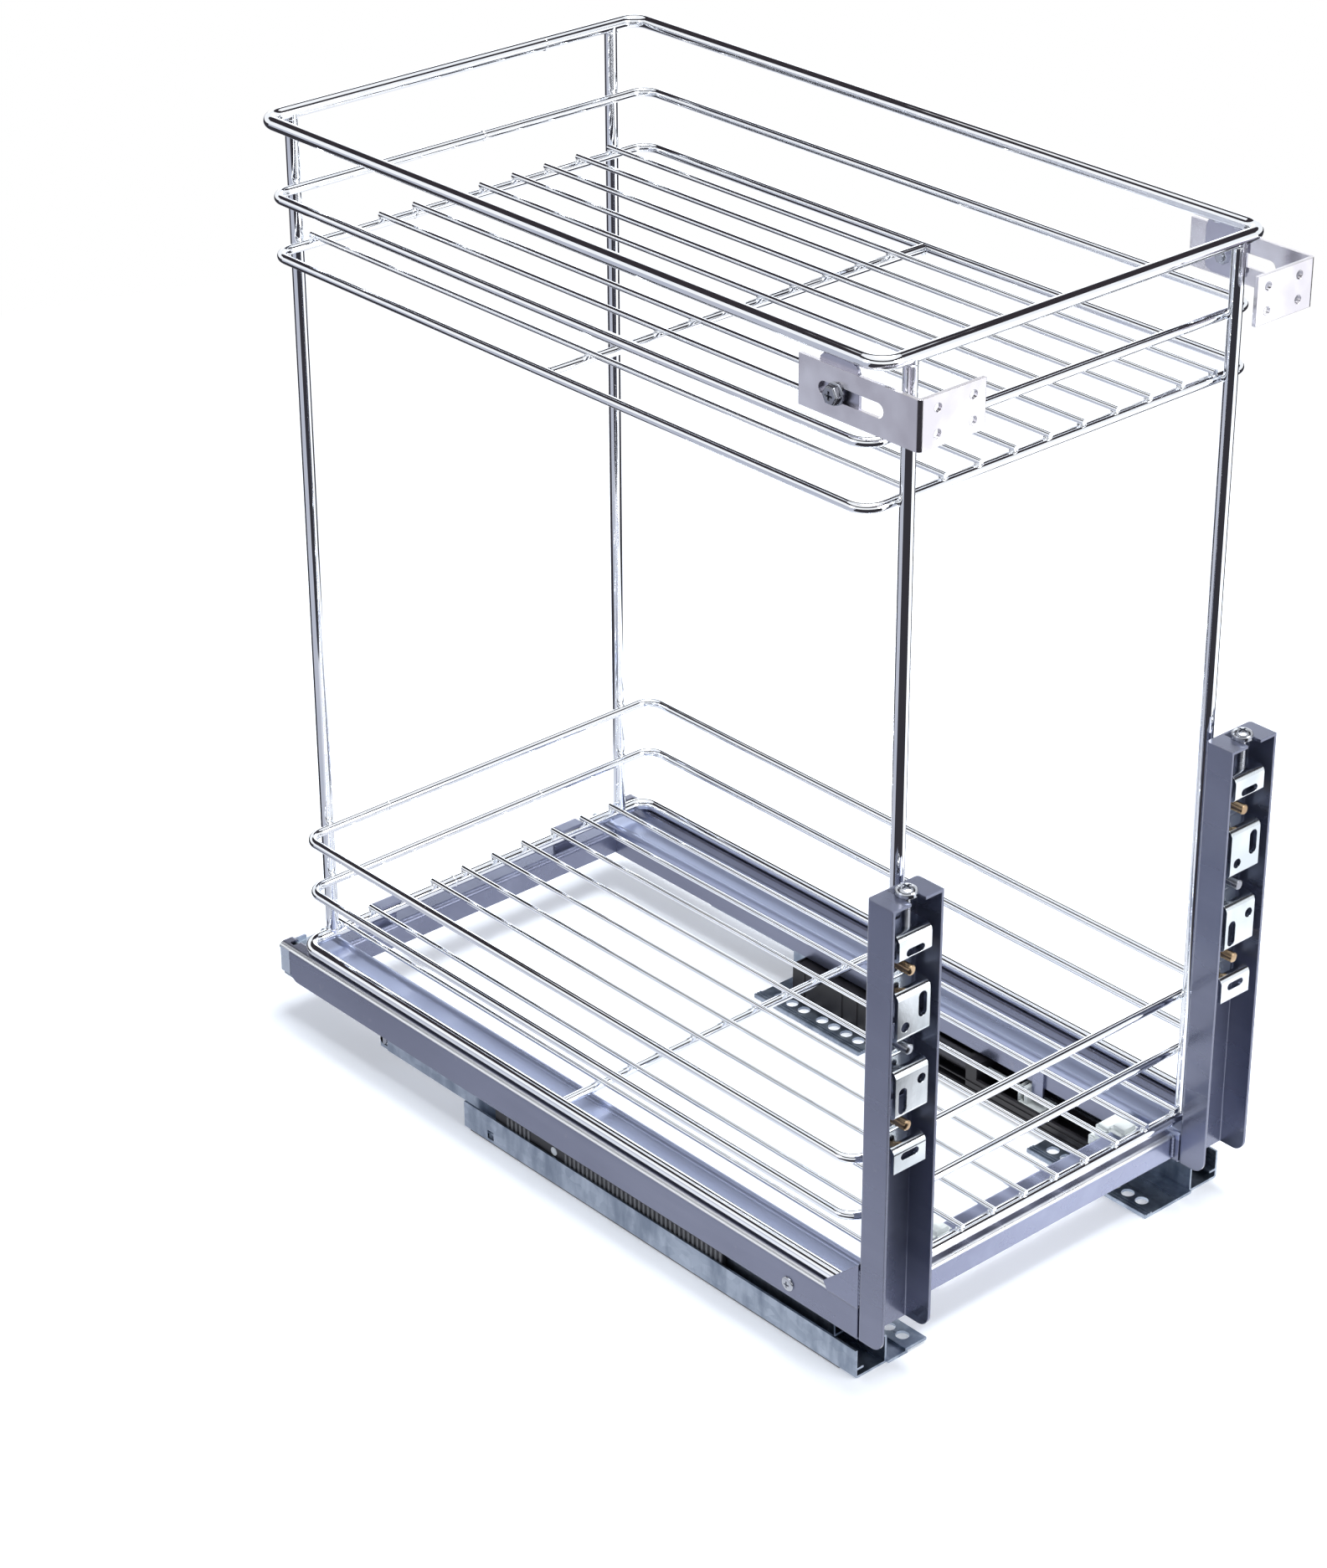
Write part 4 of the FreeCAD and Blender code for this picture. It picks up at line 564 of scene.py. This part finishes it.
def plastic(name, dark, light, rough_low, rough_high, translucent=0.0):
    """Moulded plastic with a fine grain and slight sheen variation."""
    made, tree, shader = new_material(name)
    grain = noise(tree, scale=1500, detail=2.0)
    cloud = noise(tree, scale=70, detail=4.0)
    tree.links.new(ramp(tree, cloud, [(0.3, dark), (0.7, light)]), shader.inputs["Base Color"])
    tree.links.new(spread(tree, cloud, rough_low, rough_high), shader.inputs["Roughness"])
    if translucent > 0:
        shader.inputs["Subsurface Weight"].default_value = translucent
        shader.inputs["Subsurface Radius"].default_value = LIGHT_DEPTH
        shader.inputs["Subsurface Scale"].default_value = 1.0
    bump(tree, shader, grain, strength=0.10, distance=0.0002, edge=0.0003)
    return made


MATERIALS = {
    "wire": chrome(),
    "coated_frame": powder_coat("powder_coat"),
    # darker and lighter copies of the powder coat: painted shade and painted light
    "side_coat_painted_light_and_shade": powder_coat("side_coat_painted_light_and_shade", 0.84, SIDE_FOLD, side_sheen_and_cap),
    "channel_coat_painted_shade": powder_coat("channel_coat_painted_shade", 0.80),
    "member_coat_painted_light_and_shade": powder_coat("member_coat_painted_light_and_shade", 1.40, FRONT_FOLD),
    "rail_steel": galvanised(),
    **{slot: bright_plate(*row) for slot, row in PLATES.items()},
    **{slot: plastic(*row) for slot, row in PLASTICS.items()},
}

for entry in frame["record"]["subparts"]:
    node = frame["nodes"][entry["node"]]
    node.data.materials.clear()
    node.data.materials.append(MATERIALS[SHADE_OF.get(entry["node"], entry["material_slot"])])


# Meshes

def at(x, y, z):
    """Point in the CAD frame from millimetres measured from the middle of the basket."""
    return Vector((x * MM, (y + PLAN_SHIFT) * MM, z * MM))


def new_object(name, mesh_data):
    """Object in the scene from a bmesh, which is freed."""
    mesh = bpy.data.meshes.new(name)
    mesh_data.to_mesh(mesh)
    mesh_data.free()
    made = bpy.data.objects.new(name, mesh)
    bpy.context.scene.collection.objects.link(made)
    return made


def finish_mesh(name, mesh_data, slot, body, smooth_angle=SMOOTH_ANGLE):
    """Piece from a bmesh, with the material of its slot, attached to its body."""
    bmesh.ops.recalc_face_normals(mesh_data, faces=mesh_data.faces)
    piece = new_object(name, mesh_data)
    piece.data.materials.append(MATERIALS[slot])
    piece.data.shade_smooth()
    piece.data.set_sharp_from_angle(angle=math.radians(smooth_angle))
    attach(piece, body)
    return piece


def add_blob(target, centre, radii, jitter=WELD_JITTER, rings=6, segments=10):
    """Slightly uneven ellipsoid, as a weld leaves it."""
    made = bmesh.ops.create_uvsphere(target, u_segments=segments, v_segments=rings, radius=1.0)
    for vertex in made["verts"]:
        factor = 1 + random.uniform(-jitter, jitter)
        vertex.co = centre + Vector([c * r * MM * factor for c, r in zip(vertex.co, radii)])


def add_block(target, low, high, bevel, segments=2):
    """Box between two corners, with bevelled edges."""
    centre = (at(*low) + at(*high)) / 2
    sides = at(*high) - at(*low)
    matrix = Matrix.Translation(centre) @ Matrix.Diagonal((*sides, 1.0))
    made = bmesh.ops.create_cube(target, size=1.0, matrix=matrix)
    edges = list(dict.fromkeys(e for v in made["verts"] for e in v.link_edges))
    bmesh.ops.bevel(target, geom=edges, offset=bevel * MM, segments=segments, affect="EDGES")


def add_span(target, xs, ys, zs, bevel):
    """Bevelled box from its ranges; the two numbers of xs may come in either order."""
    add_block(target, *zip(sorted(xs), ys, zs), bevel)


def add_moved_block(target, x, low, high, bevel, segments=2):
    """Bevelled box between two corners whose X is measured from a place x."""
    add_block(target, (x + low[0], *low[1:]), (x + high[0], *high[1:]), bevel, segments)


def frame_matrix(origin, axis):
    """Matrix that puts local Z along an axis at an origin."""
    return Matrix.Translation(origin) @ axis.to_track_quat("Z", "Y").to_matrix().to_4x4()


def add_circle(target, matrix, height, radii):
    """Vertices round local Z at a height, one for each radius."""
    row = []
    for i, radius in enumerate(radii):
        angle = 2 * math.pi * i / len(radii)
        place = (math.cos(angle) * radius * MM, math.sin(angle) * radius * MM, height * MM)
        row.append(target.verts.new(matrix @ Vector(place)))
    return row


def skin_rows(target, rows):
    """Faces between closed rows of vertices."""
    for first, second in zip(rows, rows[1:]):
        for i in range(len(first)):
            j = (i + 1) % len(first)
            target.faces.new((first[i], first[j], second[j], second[i]))


def cap_rows(target, rows):
    """Faces over the first and the last row."""
    target.faces.new(rows[0][::-1])
    target.faces.new(rows[-1])


def add_lathe(target, profile, origin, axis, segments=28):
    """Surface of revolution; profile is (radius, height) in millimetres, closed at both ends."""
    matrix = frame_matrix(origin, axis)
    rows = [add_circle(target, matrix, height, [radius] * segments) for radius, height in profile]
    skin_rows(target, rows)
    cap_rows(target, rows)


def add_thread(target, thread, length, origin, axis, steps=6):
    """Threaded shank: a cylinder whose radius follows a helix."""
    radius, depth, pitch = thread
    matrix = frame_matrix(origin, axis)
    count = int(length / pitch * steps)
    rows = []
    for k in range(count + 1):
        height = length * k / count
        phases = [(height / pitch - i / THREAD_SEGMENTS) % 1.0 for i in range(THREAD_SEGMENTS)]
        radii = [radius - depth * (1 - abs(2 * phase - 1)) for phase in phases]
        rows.append(add_circle(target, matrix, height, radii))
    skin_rows(target, rows)
    cap_rows(target, rows)


def add_prism(target, outline, depth):
    """Prism over a closed outline of points, extruded along a vector."""
    bottom = [target.verts.new(point) for point in outline]
    top = [target.verts.new(point + depth) for point in outline]
    cap_rows(target, [bottom, top])
    skin_rows(target, [bottom, top])


def cross_recess(piece, origin, axis, reach, width, depth):
    """Cut a tapered cross recess into a screw head."""
    cutter_data = bmesh.new()
    matrix = frame_matrix(origin, axis)
    for turn in (0.0, math.pi / 2):
        shape = matrix @ Matrix.Rotation(turn, 4, "Z")
        made = bmesh.ops.create_cube(cutter_data, size=1.0)
        for vertex in made["verts"]:
            above = vertex.co.z > 0
            taper = 1.0 if above else RECESS_TAPER
            vertex.co = shape @ Vector((
                vertex.co.x * 2 * reach * MM * taper,
                vertex.co.y * width * MM * taper,
                (RECESS_OVER if above else -depth) * MM,
            ))
    cutter = new_object("cutter", cutter_data)
    modifier = piece.modifiers.new("recess", "BOOLEAN")
    modifier.operation = "DIFFERENCE"
    modifier.solver = "EXACT"
    modifier.use_self = True
    modifier.object = cutter
    bpy.context.view_layer.update()
    depsgraph = bpy.context.evaluated_depsgraph_get()
    result = bpy.data.meshes.new_from_object(piece.evaluated_get(depsgraph))
    piece.modifiers.clear()
    piece.data = result
    result.set_sharp_from_angle(angle=math.radians(SMOOTH_ANGLE))
    bpy.data.objects.remove(cutter)


# Wire basket

def floor_xs():
    """Places of the floor wires across the basket."""
    return [(i - (FLOOR_COUNT - 1) / 2) * FLOOR_PITCH for i in range(FLOOR_COUNT)]


def add_floor_welds(target, rim_y, weld_z):
    """Welds of one floor: wire ends on the rim, and wires on the cross wire."""
    for x in floor_xs():
        for y in (-rim_y, rim_y):
            add_blob(target, at(x, y, weld_z), RIM_WELD)
        add_blob(target, at(x, 0, weld_z), CROSS_WELD)


def add_cross_ends(target, z):
    """Welds at the two ends of a cross wire."""
    for x in (-RING_X, RING_X):
        inward = -math.copysign(CROSS_END_INSET, x)
        add_blob(target, at(x + inward, 0, z - CROSS_END_DROP), CROSS_END_WELD)


def wire_welds():
    """All welds of the wire basket as one piece."""
    data = bmesh.new()
    add_floor_welds(data, INNER_RING_Y, UPPER_WELD_Z)
    add_floor_welds(data, POST_Y, LOWER_WELD_Z)
    add_cross_ends(data, UPPER_RIM_Z)
    add_cross_ends(data, BASE_RIM_Z)
    for x in (-POST_X, POST_X):
        for y_sign in (-1, 1):
            for z in INNER_RING_ZS:
                y = y_sign * (INNER_RING_Y + WIRE_D / 2)
                add_blob(data, at(x, y, z), POST_WELD)
            for z in (TOP_Z - RAIL_D / 2, BASE_RIM_Z + RAIL_D / 2):
                place = at(x, y_sign * POST_Y, z)
                add_blob(data, place, RAIL_WELD, RAIL_WELD_JITTER, rings=8, segments=16)
    finish_mesh("wire_welds", data, "wire", "basket", WELD_ANGLE)


def ring_seams():
    """Butt welds that close each ring on its rear side."""
    data = bmesh.new()
    for x, z, y, diameter in RING_SEAMS:
        r = diameter / 2
        profile = [(r * SEAM_END, -SEAM_REACH)]
        profile += [(r + rise, place) for place, rise in SEAM_RISES]
        profile += [(r * SEAM_END, SEAM_REACH)]
        add_lathe(data, profile, at(x, y, z), X_AXIS, 24)
    finish_mesh("ring_seams", data, "wire", "basket", WELD_ANGLE)


# Screws

def dome(radius, height, edge, steps=5):
    """Profile of a domed screw head from its seat upwards."""
    profile = [(radius, 0.0), (radius, edge)]
    for i in range(1, steps + 1):
        angle = math.pi / 2 * i / steps
        rise = (height - edge) * math.sin(angle)
        profile.append((radius * math.cos(angle * DOME_SPAN), edge + rise))
    return profile


def frame_screw_pieces():
    """Pan-head screws in the side members."""
    height = FRAME_SCREW_HEAD[1]
    for sign, side in SIDES:
        axis = sign * X_AXIS
        seat = at(sign * FRAME_X, FRAME_SCREW_Y, FRAME_SCREW_Z)
        data = bmesh.new()
        add_lathe(data, dome(*FRAME_SCREW_HEAD), seat, axis)
        piece = finish_mesh("frame_screw_%s" % side, data, "screw_steel", "basket", SCREW_ANGLE)
        cross_recess(piece, seat + axis * height * MM, axis, *FRAME_SCREW_CROSS)
        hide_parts("frame_screws")


def height_screw_pieces():
    """Height screws: domed cross-recessed head and threaded shank."""
    height = HEIGHT_SCREW_HEAD[1]
    for sign, side in SIDES:
        body = "height_screw_" + side
        seat = at(sign * CHANNEL_X, HEIGHT_SCREW_Y, HEIGHT_SCREW_SEAT_Z)
        data = bmesh.new()
        add_lathe(data, dome(*HEIGHT_SCREW_HEAD), seat, Z_AXIS, 36)
        head = finish_mesh("height_screw_head_%s" % side, data, "screw_steel", body, SCREW_ANGLE)
        cross_recess(head, seat + Z_AXIS * height * MM, Z_AXIS, *HEIGHT_SCREW_CROSS)
        data = bmesh.new()
        add_thread(data, THREAD_M5, HEIGHT_SCREW_LENGTH, seat, -Z_AXIS)
        finish_mesh("height_screw_shank_%s" % side, data, "screw_steel", body, THREAD_ANGLE)
        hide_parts("height_screw_" + side)


def clamp_screw_pieces():
    """Hexagon clamp screws with a flange and a cross recess, and their threaded shanks."""
    height = CLAMP_HEXAGON[-1][1]
    for sign, side in SIDES:
        axis = sign * X_AXIS
        seat = at(sign * CLAMP_SEAT_X, CLAMP_Y, CLAMP_Z)
        data = bmesh.new()
        add_lathe(data, CLAMP_FLANGE, seat, axis, 36)
        add_lathe(data, CLAMP_HEXAGON, seat, axis, 6)
        name = "clamp_screw_head_%s" % side
        head = finish_mesh(name, data, "screw_steel", "basket", HEXAGON_ANGLE)
        cross_recess(head, seat + axis * height * MM, axis, *CLAMP_CROSS)
        data = bmesh.new()
        add_thread(data, THREAD_M5, CLAMP_LENGTH, seat, -axis)
        finish_mesh("clamp_screw_shank_%s" % side, data, "screw_steel", "basket", THREAD_ANGLE)
        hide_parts("clamp_screws")


def stud_pieces():
    """Strip screws: threaded ends that point forward, shanks, and heads behind the channels."""
    for slot, node, heights in (
            ("brass", "strip_screws_brass", STUD_ZS[::2]),
            ("screw_steel", "strip_screws_zinc", STUD_ZS[1:2])):
        data = bmesh.new()
        for sign, side in SIDES:
            x = sign * CHANNEL_X
            for z in heights:
                place = at(x, STUD_THREAD_Y, z)
                add_thread(data, STUD_THREAD, STUD_THREAD_LENGTH, place, -Y_AXIS, 5)
                for y, direction, profile, segments in STUD_FORMS:
                    add_lathe(data, profile, at(x, y, z), direction * Y_AXIS, segments)
        studs = finish_mesh(node + "_ends", data, slot, "basket", THREAD_ANGLE)
        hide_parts(node)


# Ears, cages, blocks and damper

def ear_pieces():
    """Ear plates with cut corners, welded to the underside of the top rail."""
    front, rear = ear_low[1], ear_high[1]
    rail_z = TOP_Z - RAIL_D / 2
    low, top = ear_low[2], rail_z + EAR_INTO_RAIL
    cut = EAR_CUT
    corners = (
        (front + cut, low), (rear - cut, low), (rear, low + cut), (rear, top - cut),
        (rear - cut, top), (front + cut, top), (front, top - cut), (front, low + cut))
    for sign, side in SIDES:
        x = sign * (ear_high[0] - EAR_T)
        data = bmesh.new()
        add_prism(data, [at(x, y, z) for y, z in corners], Vector((sign * EAR_T * MM, 0, 0)))
        across = EAR_T * MM / 2
        edges = [e for e in data.edges if abs(e.verts[0].co.x - e.verts[1].co.x) > across]
        bmesh.ops.bevel(data, geom=edges, offset=EAR_ROUNDING * MM, segments=3, affect="EDGES")
        plate = finish_mesh("ear_plate_%s" % side, data, "ear_plate", "basket", SCREW_ANGLE)
        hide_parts("bracket_ear_" + side)
        welds = bmesh.new()
        for y in (front + EAR_WELD_INSET, rear - EAR_WELD_INSET):
            place = at(sign * (ear_high[0] - EAR_WELD_DEPTH), y, rail_z + EAR_WELD_RISE)
            add_blob(welds, place, EAR_WELD)
        finish_mesh("ear_welds_%s" % side, welds, "wire", "basket", WELD_ANGLE)


def cage_pieces():
    """Upright ribs, lighter than the cage as painted light, and a locking button on the walls of the
    lower cages.
    """
    for sign, side in SIDES:
        xs = [sign * x for x in CAGE_RIB_X]
        data = bmesh.new()
        for start, count in CAGE_RIB_ROWS:
            for i in range(count):
                y = start + i * CAGE_RIB_PITCH
                ys = (y - CAGE_RIB_HALF, y + CAGE_RIB_HALF)
                add_span(data, xs, ys, CAGE_RIB_Z, CAGE_RIB_BEVEL)
        finish_mesh("cage_ribs_%s" % side, data, "cage_ribs_painted_light", "lower_cage_" + side)
        button = bmesh.new()
        place = at(sign * CAGE_WALL_X, BUTTON_Y, BUTTON_Z)
        add_lathe(button, BUTTON_PROFILE, place, sign * X_AXIS, 20)
        finish_mesh("cage_button_%s" % side, button, "roller_plastic", "lower_cage_" + side)


def nylon_pieces():
    """Stop blocks with pillow-like tops and thin tongues."""
    data = bmesh.new()
    for x in NYLON_XS:
        for low, high, bevel, segments in NYLON_FORMS:
            add_moved_block(data, x, low, high, bevel, segments)
    blocks = finish_mesh("nylon_pillows", data, "nylon", "basket", WELD_ANGLE)
    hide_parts("nylon_blocks")


def rear_lugs():
    """Rolled lugs on the hooks at the rear ends of the middle rails."""
    x, y, z = REAR_LUG
    for sign, side in SIDES:
        data = bmesh.new()
        add_lathe(data, REAR_LUG_PROFILE, at(sign * x, y, z), -sign * X_AXIS, 24)
        finish_mesh("rear_lug_%s" % side, data, "screw_steel", "middle_" + side)


def damper_details():
    """Rim, ribs and collars on the damper's housing, and the tab and finger of its catch."""
    inner, outer, rear = DAMPER_INNER_X, DAMPER_OUTER_X, DAMPER_REAR_Y
    width = DAMPER_RIM_WIDTH
    long_rim = (DAMPER_BLOCK_Y, rear)
    data = bmesh.new()
    for xs, ys in (
            ((inner, inner + width), long_rim),
            ((outer - width, outer), long_rim),
            ((inner, outer), (rear - width, rear))):
        add_span(data, xs, ys, DAMPER_RIM_Z, DAMPER_RIM_BEVEL)
    for zs in LONG_RIB_ZS:
        add_span(data, DAMPER_RIB_X, LONG_RIB_Y, zs, DAMPER_RIB_BEVEL)
    for y in BLOCK_RIB_YS:
        add_span(data, DAMPER_RIB_X, (y, y + BLOCK_RIB_WIDTH), BLOCK_RIB_Z, DAMPER_RIB_BEVEL)
    add_span(data, DAMPER_RIB_X, TOP_RIB_Y, TOP_RIB_Z, DAMPER_RIB_BEVEL)
    for y in COLLAR_YS:
        add_lathe(data, COLLAR_PROFILE, at(DAMPER_MIDDLE_X, y, CYLINDER_Z), Y_AXIS, 36)
    finish_mesh("damper_ribs", data, "damper_plastic", "slide_base", SCREW_ANGLE)
    tab = bmesh.new()
    for low, high in CATCH_TAB:
        add_moved_block(tab, DAMPER_MIDDLE_X, low, high, CATCH_TAB_BEVEL)
    finish_mesh("catch_tab", tab, "screw_steel", "damper_catch", SCREW_ANGLE)
    finger = bmesh.new()
    add_moved_block(finger, DAMPER_MIDDLE_X, *CATCH_FINGER, CATCH_FINGER_BEVEL)
    finish_mesh("catch_finger", finger, "nylon", "damper_catch", SCREW_ANGLE)


def painted_rail_shadows():
    """Dark strip along the foot of each cabinet rail's outer wall: painted shadow of the gap under
    the rail.
    """
    for sign, side in SIDES:
        data = bmesh.new()
        xs = [sign * x for x in RAIL_SHADOW_X]
        add_span(data, xs, RAIL_SHADOW_Y, RAIL_SHADOW_Z, RAIL_SHADOW_BEVEL)
        finish_mesh("painted_rail_shadow_%s" % side, data, "damper_plastic", "slide_base")


def frame_welds():
    """Short welds where the door channels and gussets join the base frame."""
    data = bmesh.new()
    for sign, side in SIDES:
        for x, y, low_z, pitch, count, radii in FRAME_WELDS:
            for i in range(count):
                add_blob(data, at(sign * x, y, low_z + pitch * i), radii)
    finish_mesh("frame_welds", data, "coated_frame", "basket", WELD_ANGLE)


wire_welds()
ring_seams()
frame_screw_pieces()
height_screw_pieces()
clamp_screw_pieces()
ear_pieces()
cage_pieces()
nylon_pieces()
rear_lugs()
stud_pieces()
damper_details()
painted_rail_shadows()
frame_welds()


# Camera, light and floor

CAMERA_PLACE = (-1.22168, -1.318795, 1.153263)
CAMERA_TURN_DEG = (61.8796, 0.2822, -41.5608)
CAMERA_LENS = 90.42
CAMERA_SENSOR = 36.0
CAMERA_REACH = 100.0
TOWARDS_CAMERA_DEG = 227.1   # direction of the camera in plan

# Lamps: name, place, target, size, power and colour
LAMPS = (
    ("top", (0.45, -0.2, 3.2), (0, 0, 0.2), (1.5, 1.5), 118.0, (0.93, 0.97, 1.0)),
    ("back", (1.6, 1.72, 0.85), (0, 0, 0.05), (1.6, 0.55), 6.0, (0.86, 0.93, 1.0)),
    ("front", (0.9, -2.5, 1.2), (0, 0, 0.25), (1.6, 1.4), 34.0, WHITE),
    ("left", (-2.6, 0.4, 1.1), (0, 0, 0.25), (1.0, 1.6), 5.0, (0.86, 0.90, 1.0)))

# Surroundings: light that they give, and what reflections show of them. A dark band lies there
# between backdrop and overhead light: place on the ramp and colour.
WORLD_LIGHT = (0.80, 0.87, 1.0)
WORLD_STRENGTH = 0.42
DARK_STUDIO = (0.035, 0.030, 0.036)
PALE_STUDIO = (0.96, 0.98, 1.0)
SKY_RANGE = (-0.2, 0.9)      # heights of a direction that the ramp covers
SKY_STOPS = (
    (0.0, WHITE), (0.622, PALE_STUDIO), (0.632, DARK_STUDIO), (0.856, DARK_STUDIO),
    (0.866, PALE_STUDIO), (1.0, WHITE))

# Floor
FLOOR_SIZE = 30.0
FLOOR_DROP = 0.0002          # below the rails, so that the faces don't coincide
FLOOR_PAINT = (0.84, 0.86, 0.90)
FLOOR_GLOW = 0.30
WHITE_FLOOR = (0.7, 1.3)     # distances over which it turns plain white for the camera
# dark parts of it in reflections: turn from the camera, start and half width per distance
SHEET_SECTORS = ((10.0, 0.30, 1.15), (125.0, 0.35, 0.47), (-125.0, 0.35, 0.47))
SHEET_FADE = 0.03
DARK_FLOOR = (0.038, 0.036, 0.044)
# pale sheet between them: colours left and right of the places across the view where they blend
SHEET_LEFT = (0.50, 0.52, 0.60)
SHEET_RIGHT = (1.32, 1.35, 1.40)
SHEET_BLEND = (-0.35, 0.25)


def add_camera():
    """Camera at the photograph's viewing angle."""
    camera = bpy.data.cameras.new("camera")
    camera.lens = CAMERA_LENS
    camera.sensor_width = CAMERA_SENSOR
    camera.clip_end = CAMERA_REACH
    holder = bpy.data.objects.new("camera", camera)
    holder.location = CAMERA_PLACE
    holder.rotation_euler = [math.radians(v) for v in CAMERA_TURN_DEG]
    bpy.context.scene.collection.objects.link(holder)
    bpy.context.scene.camera = holder


def add_lamp(name, place, target, size, power, colour):
    """Rectangular soft light aimed at a target."""
    light = bpy.data.lights.new(name, "AREA")
    light.shape = "RECTANGLE"
    light.size, light.size_y = size
    light.energy = power
    light.color = colour
    holder = bpy.data.objects.new(name, light)
    holder.location = place
    aim = Vector(target) - Vector(place)
    holder.rotation_euler = aim.to_track_quat("-Z", "Y").to_euler()
    bpy.context.scene.collection.objects.link(holder)


def emptied_tree(owner):
    """Node tree of a material or world, without nodes."""
    owner.use_nodes = True
    owner.node_tree.nodes.clear()
    return owner.node_tree


def emission(tree, colour, strength=1.0):
    """Emission shader of a colour or a colour output."""
    node = add_node(tree, "ShaderNodeEmission", Strength=strength)
    if isinstance(colour, tuple):
        node.inputs["Color"].default_value = (*colour, 1.0)
    else:
        tree.links.new(colour, node.inputs["Color"])
    return node.outputs["Emission"]


def ray(tree, kind):
    """1 for rays of a kind, else 0."""
    return tree.nodes.new("ShaderNodeLightPath").outputs[kind]


def mirrored_rays(tree):
    """1 for glossy and transmission rays, else 0."""
    return either(tree, ray(tree, "Is Glossy Ray"), ray(tree, "Is Transmission Ray"))


def add_world():
    """White surroundings with a dark band high up, seen only in reflections."""
    world = bpy.data.worlds.new("studio")
    bpy.context.scene.world = world
    tree = emptied_tree(world)
    direction = tree.nodes.new("ShaderNodeTexCoord").outputs["Generated"]
    height = weighted(tree, direction, Z_AXIS)
    studio = ramp(tree, spread(tree, height, 0.0, 1.0, *SKY_RANGE), SKY_STOPS)
    seen = tree.nodes.new("ShaderNodeBackground")
    shown = mixed(tree, ray(tree, "Is Camera Ray"), studio, WHITE)
    tree.links.new(shown, seen.inputs["Color"])
    lit = add_node(
        tree, "ShaderNodeBackground", Color=(*WORLD_LIGHT, 1.0), Strength=WORLD_STRENGTH)
    background = either(tree, ray(tree, "Is Camera Ray"), mirrored_rays(tree))
    surface = mixed_shaders(
        tree, background, lit.outputs["Background"], seen.outputs["Background"])
    output = tree.nodes.new("ShaderNodeOutputWorld")
    tree.links.new(surface, output.inputs["Surface"])


def position(tree):
    """Place of the surface in the scene."""
    return tree.nodes.new("ShaderNodeNewGeometry").outputs["Position"]


def plan_axes(degrees):
    """A direction in plan, and the one to its left."""
    angle = math.radians(degrees)
    ahead = (math.cos(angle), math.sin(angle), 0.0)
    return ahead, (-ahead[1], ahead[0], 0.0)


def floor_sector(tree, turn, start, slope):
    """1 inside a sector of the floor that opens away from the object, else 0."""
    forward, sideways = plan_axes(TOWARDS_CAMERA_DEG + turn)
    ahead = weighted(tree, position(tree), forward)
    width = size_of(tree, weighted(tree, position(tree), sideways))
    reach = math_node(tree, "MULTIPLY_ADD", width, -1.0 / slope, ahead)
    beyond = spread(tree, ahead, 0.0, 1.0, start, start + SHEET_FADE)
    inside = spread(tree, reach, 0.0, 1.0, 0.0, SHEET_FADE)
    return product(tree, beyond, inside)


def studio_floor(tree):
    """Colour that reflections show of the floor: a pale sheet between dark parts."""
    dark, *others = [floor_sector(tree, *sector) for sector in SHEET_SECTORS]
    for other in others:
        dark = either(tree, dark, other)
    sideways = weighted(tree, position(tree), plan_axes(TOWARDS_CAMERA_DEG)[1])
    to_right = spread(tree, sideways, 0.0, 1.0, *SHEET_BLEND)
    return mixed(tree, dark, mixed(tree, to_right, SHEET_LEFT, SHEET_RIGHT), DARK_FLOOR)


def add_floor():
    """White floor that keeps the object's soft shadow."""
    data = bmesh.new()
    bmesh.ops.create_grid(data, x_segments=1, y_segments=1, size=FLOOR_SIZE / 2)
    floor = new_object("floor", data)
    floor.location = (0, 0, -FLOOR_DROP)
    made = bpy.data.materials.new("floor")
    tree = emptied_tree(made)
    matt = add_node(tree, "ShaderNodeBsdfDiffuse", Color=(*FLOOR_PAINT, 1.0)).outputs["BSDF"]
    near = tree.nodes.new("ShaderNodeAddShader")
    tree.links.new(matt, near.inputs[0])
    tree.links.new(emission(tree, WHITE, FLOOR_GLOW), near.inputs[1])
    away = tree.nodes.new("ShaderNodeVectorMath")
    away.operation = "LENGTH"
    tree.links.new(position(tree), away.inputs[0])
    distance = spread(tree, away.outputs["Value"], 0.0, 1.0, *WHITE_FLOOR)
    shown = mixed_shaders(tree, distance, near.outputs["Shader"], emission(tree, WHITE))
    seen = mixed_shaders(tree, ray(tree, "Is Camera Ray"), matt, shown)
    surface = mixed_shaders(tree, mirrored_rays(tree), seen, emission(tree, studio_floor(tree)))
    output = tree.nodes.new("ShaderNodeOutputMaterial")
    tree.links.new(surface, output.inputs["Surface"])
    floor.data.materials.append(made)


add_camera()
add_world()
add_floor()
for lamp in LAMPS:
    add_lamp(*lamp)

bpy.context.scene.view_settings.view_transform = "Standard"
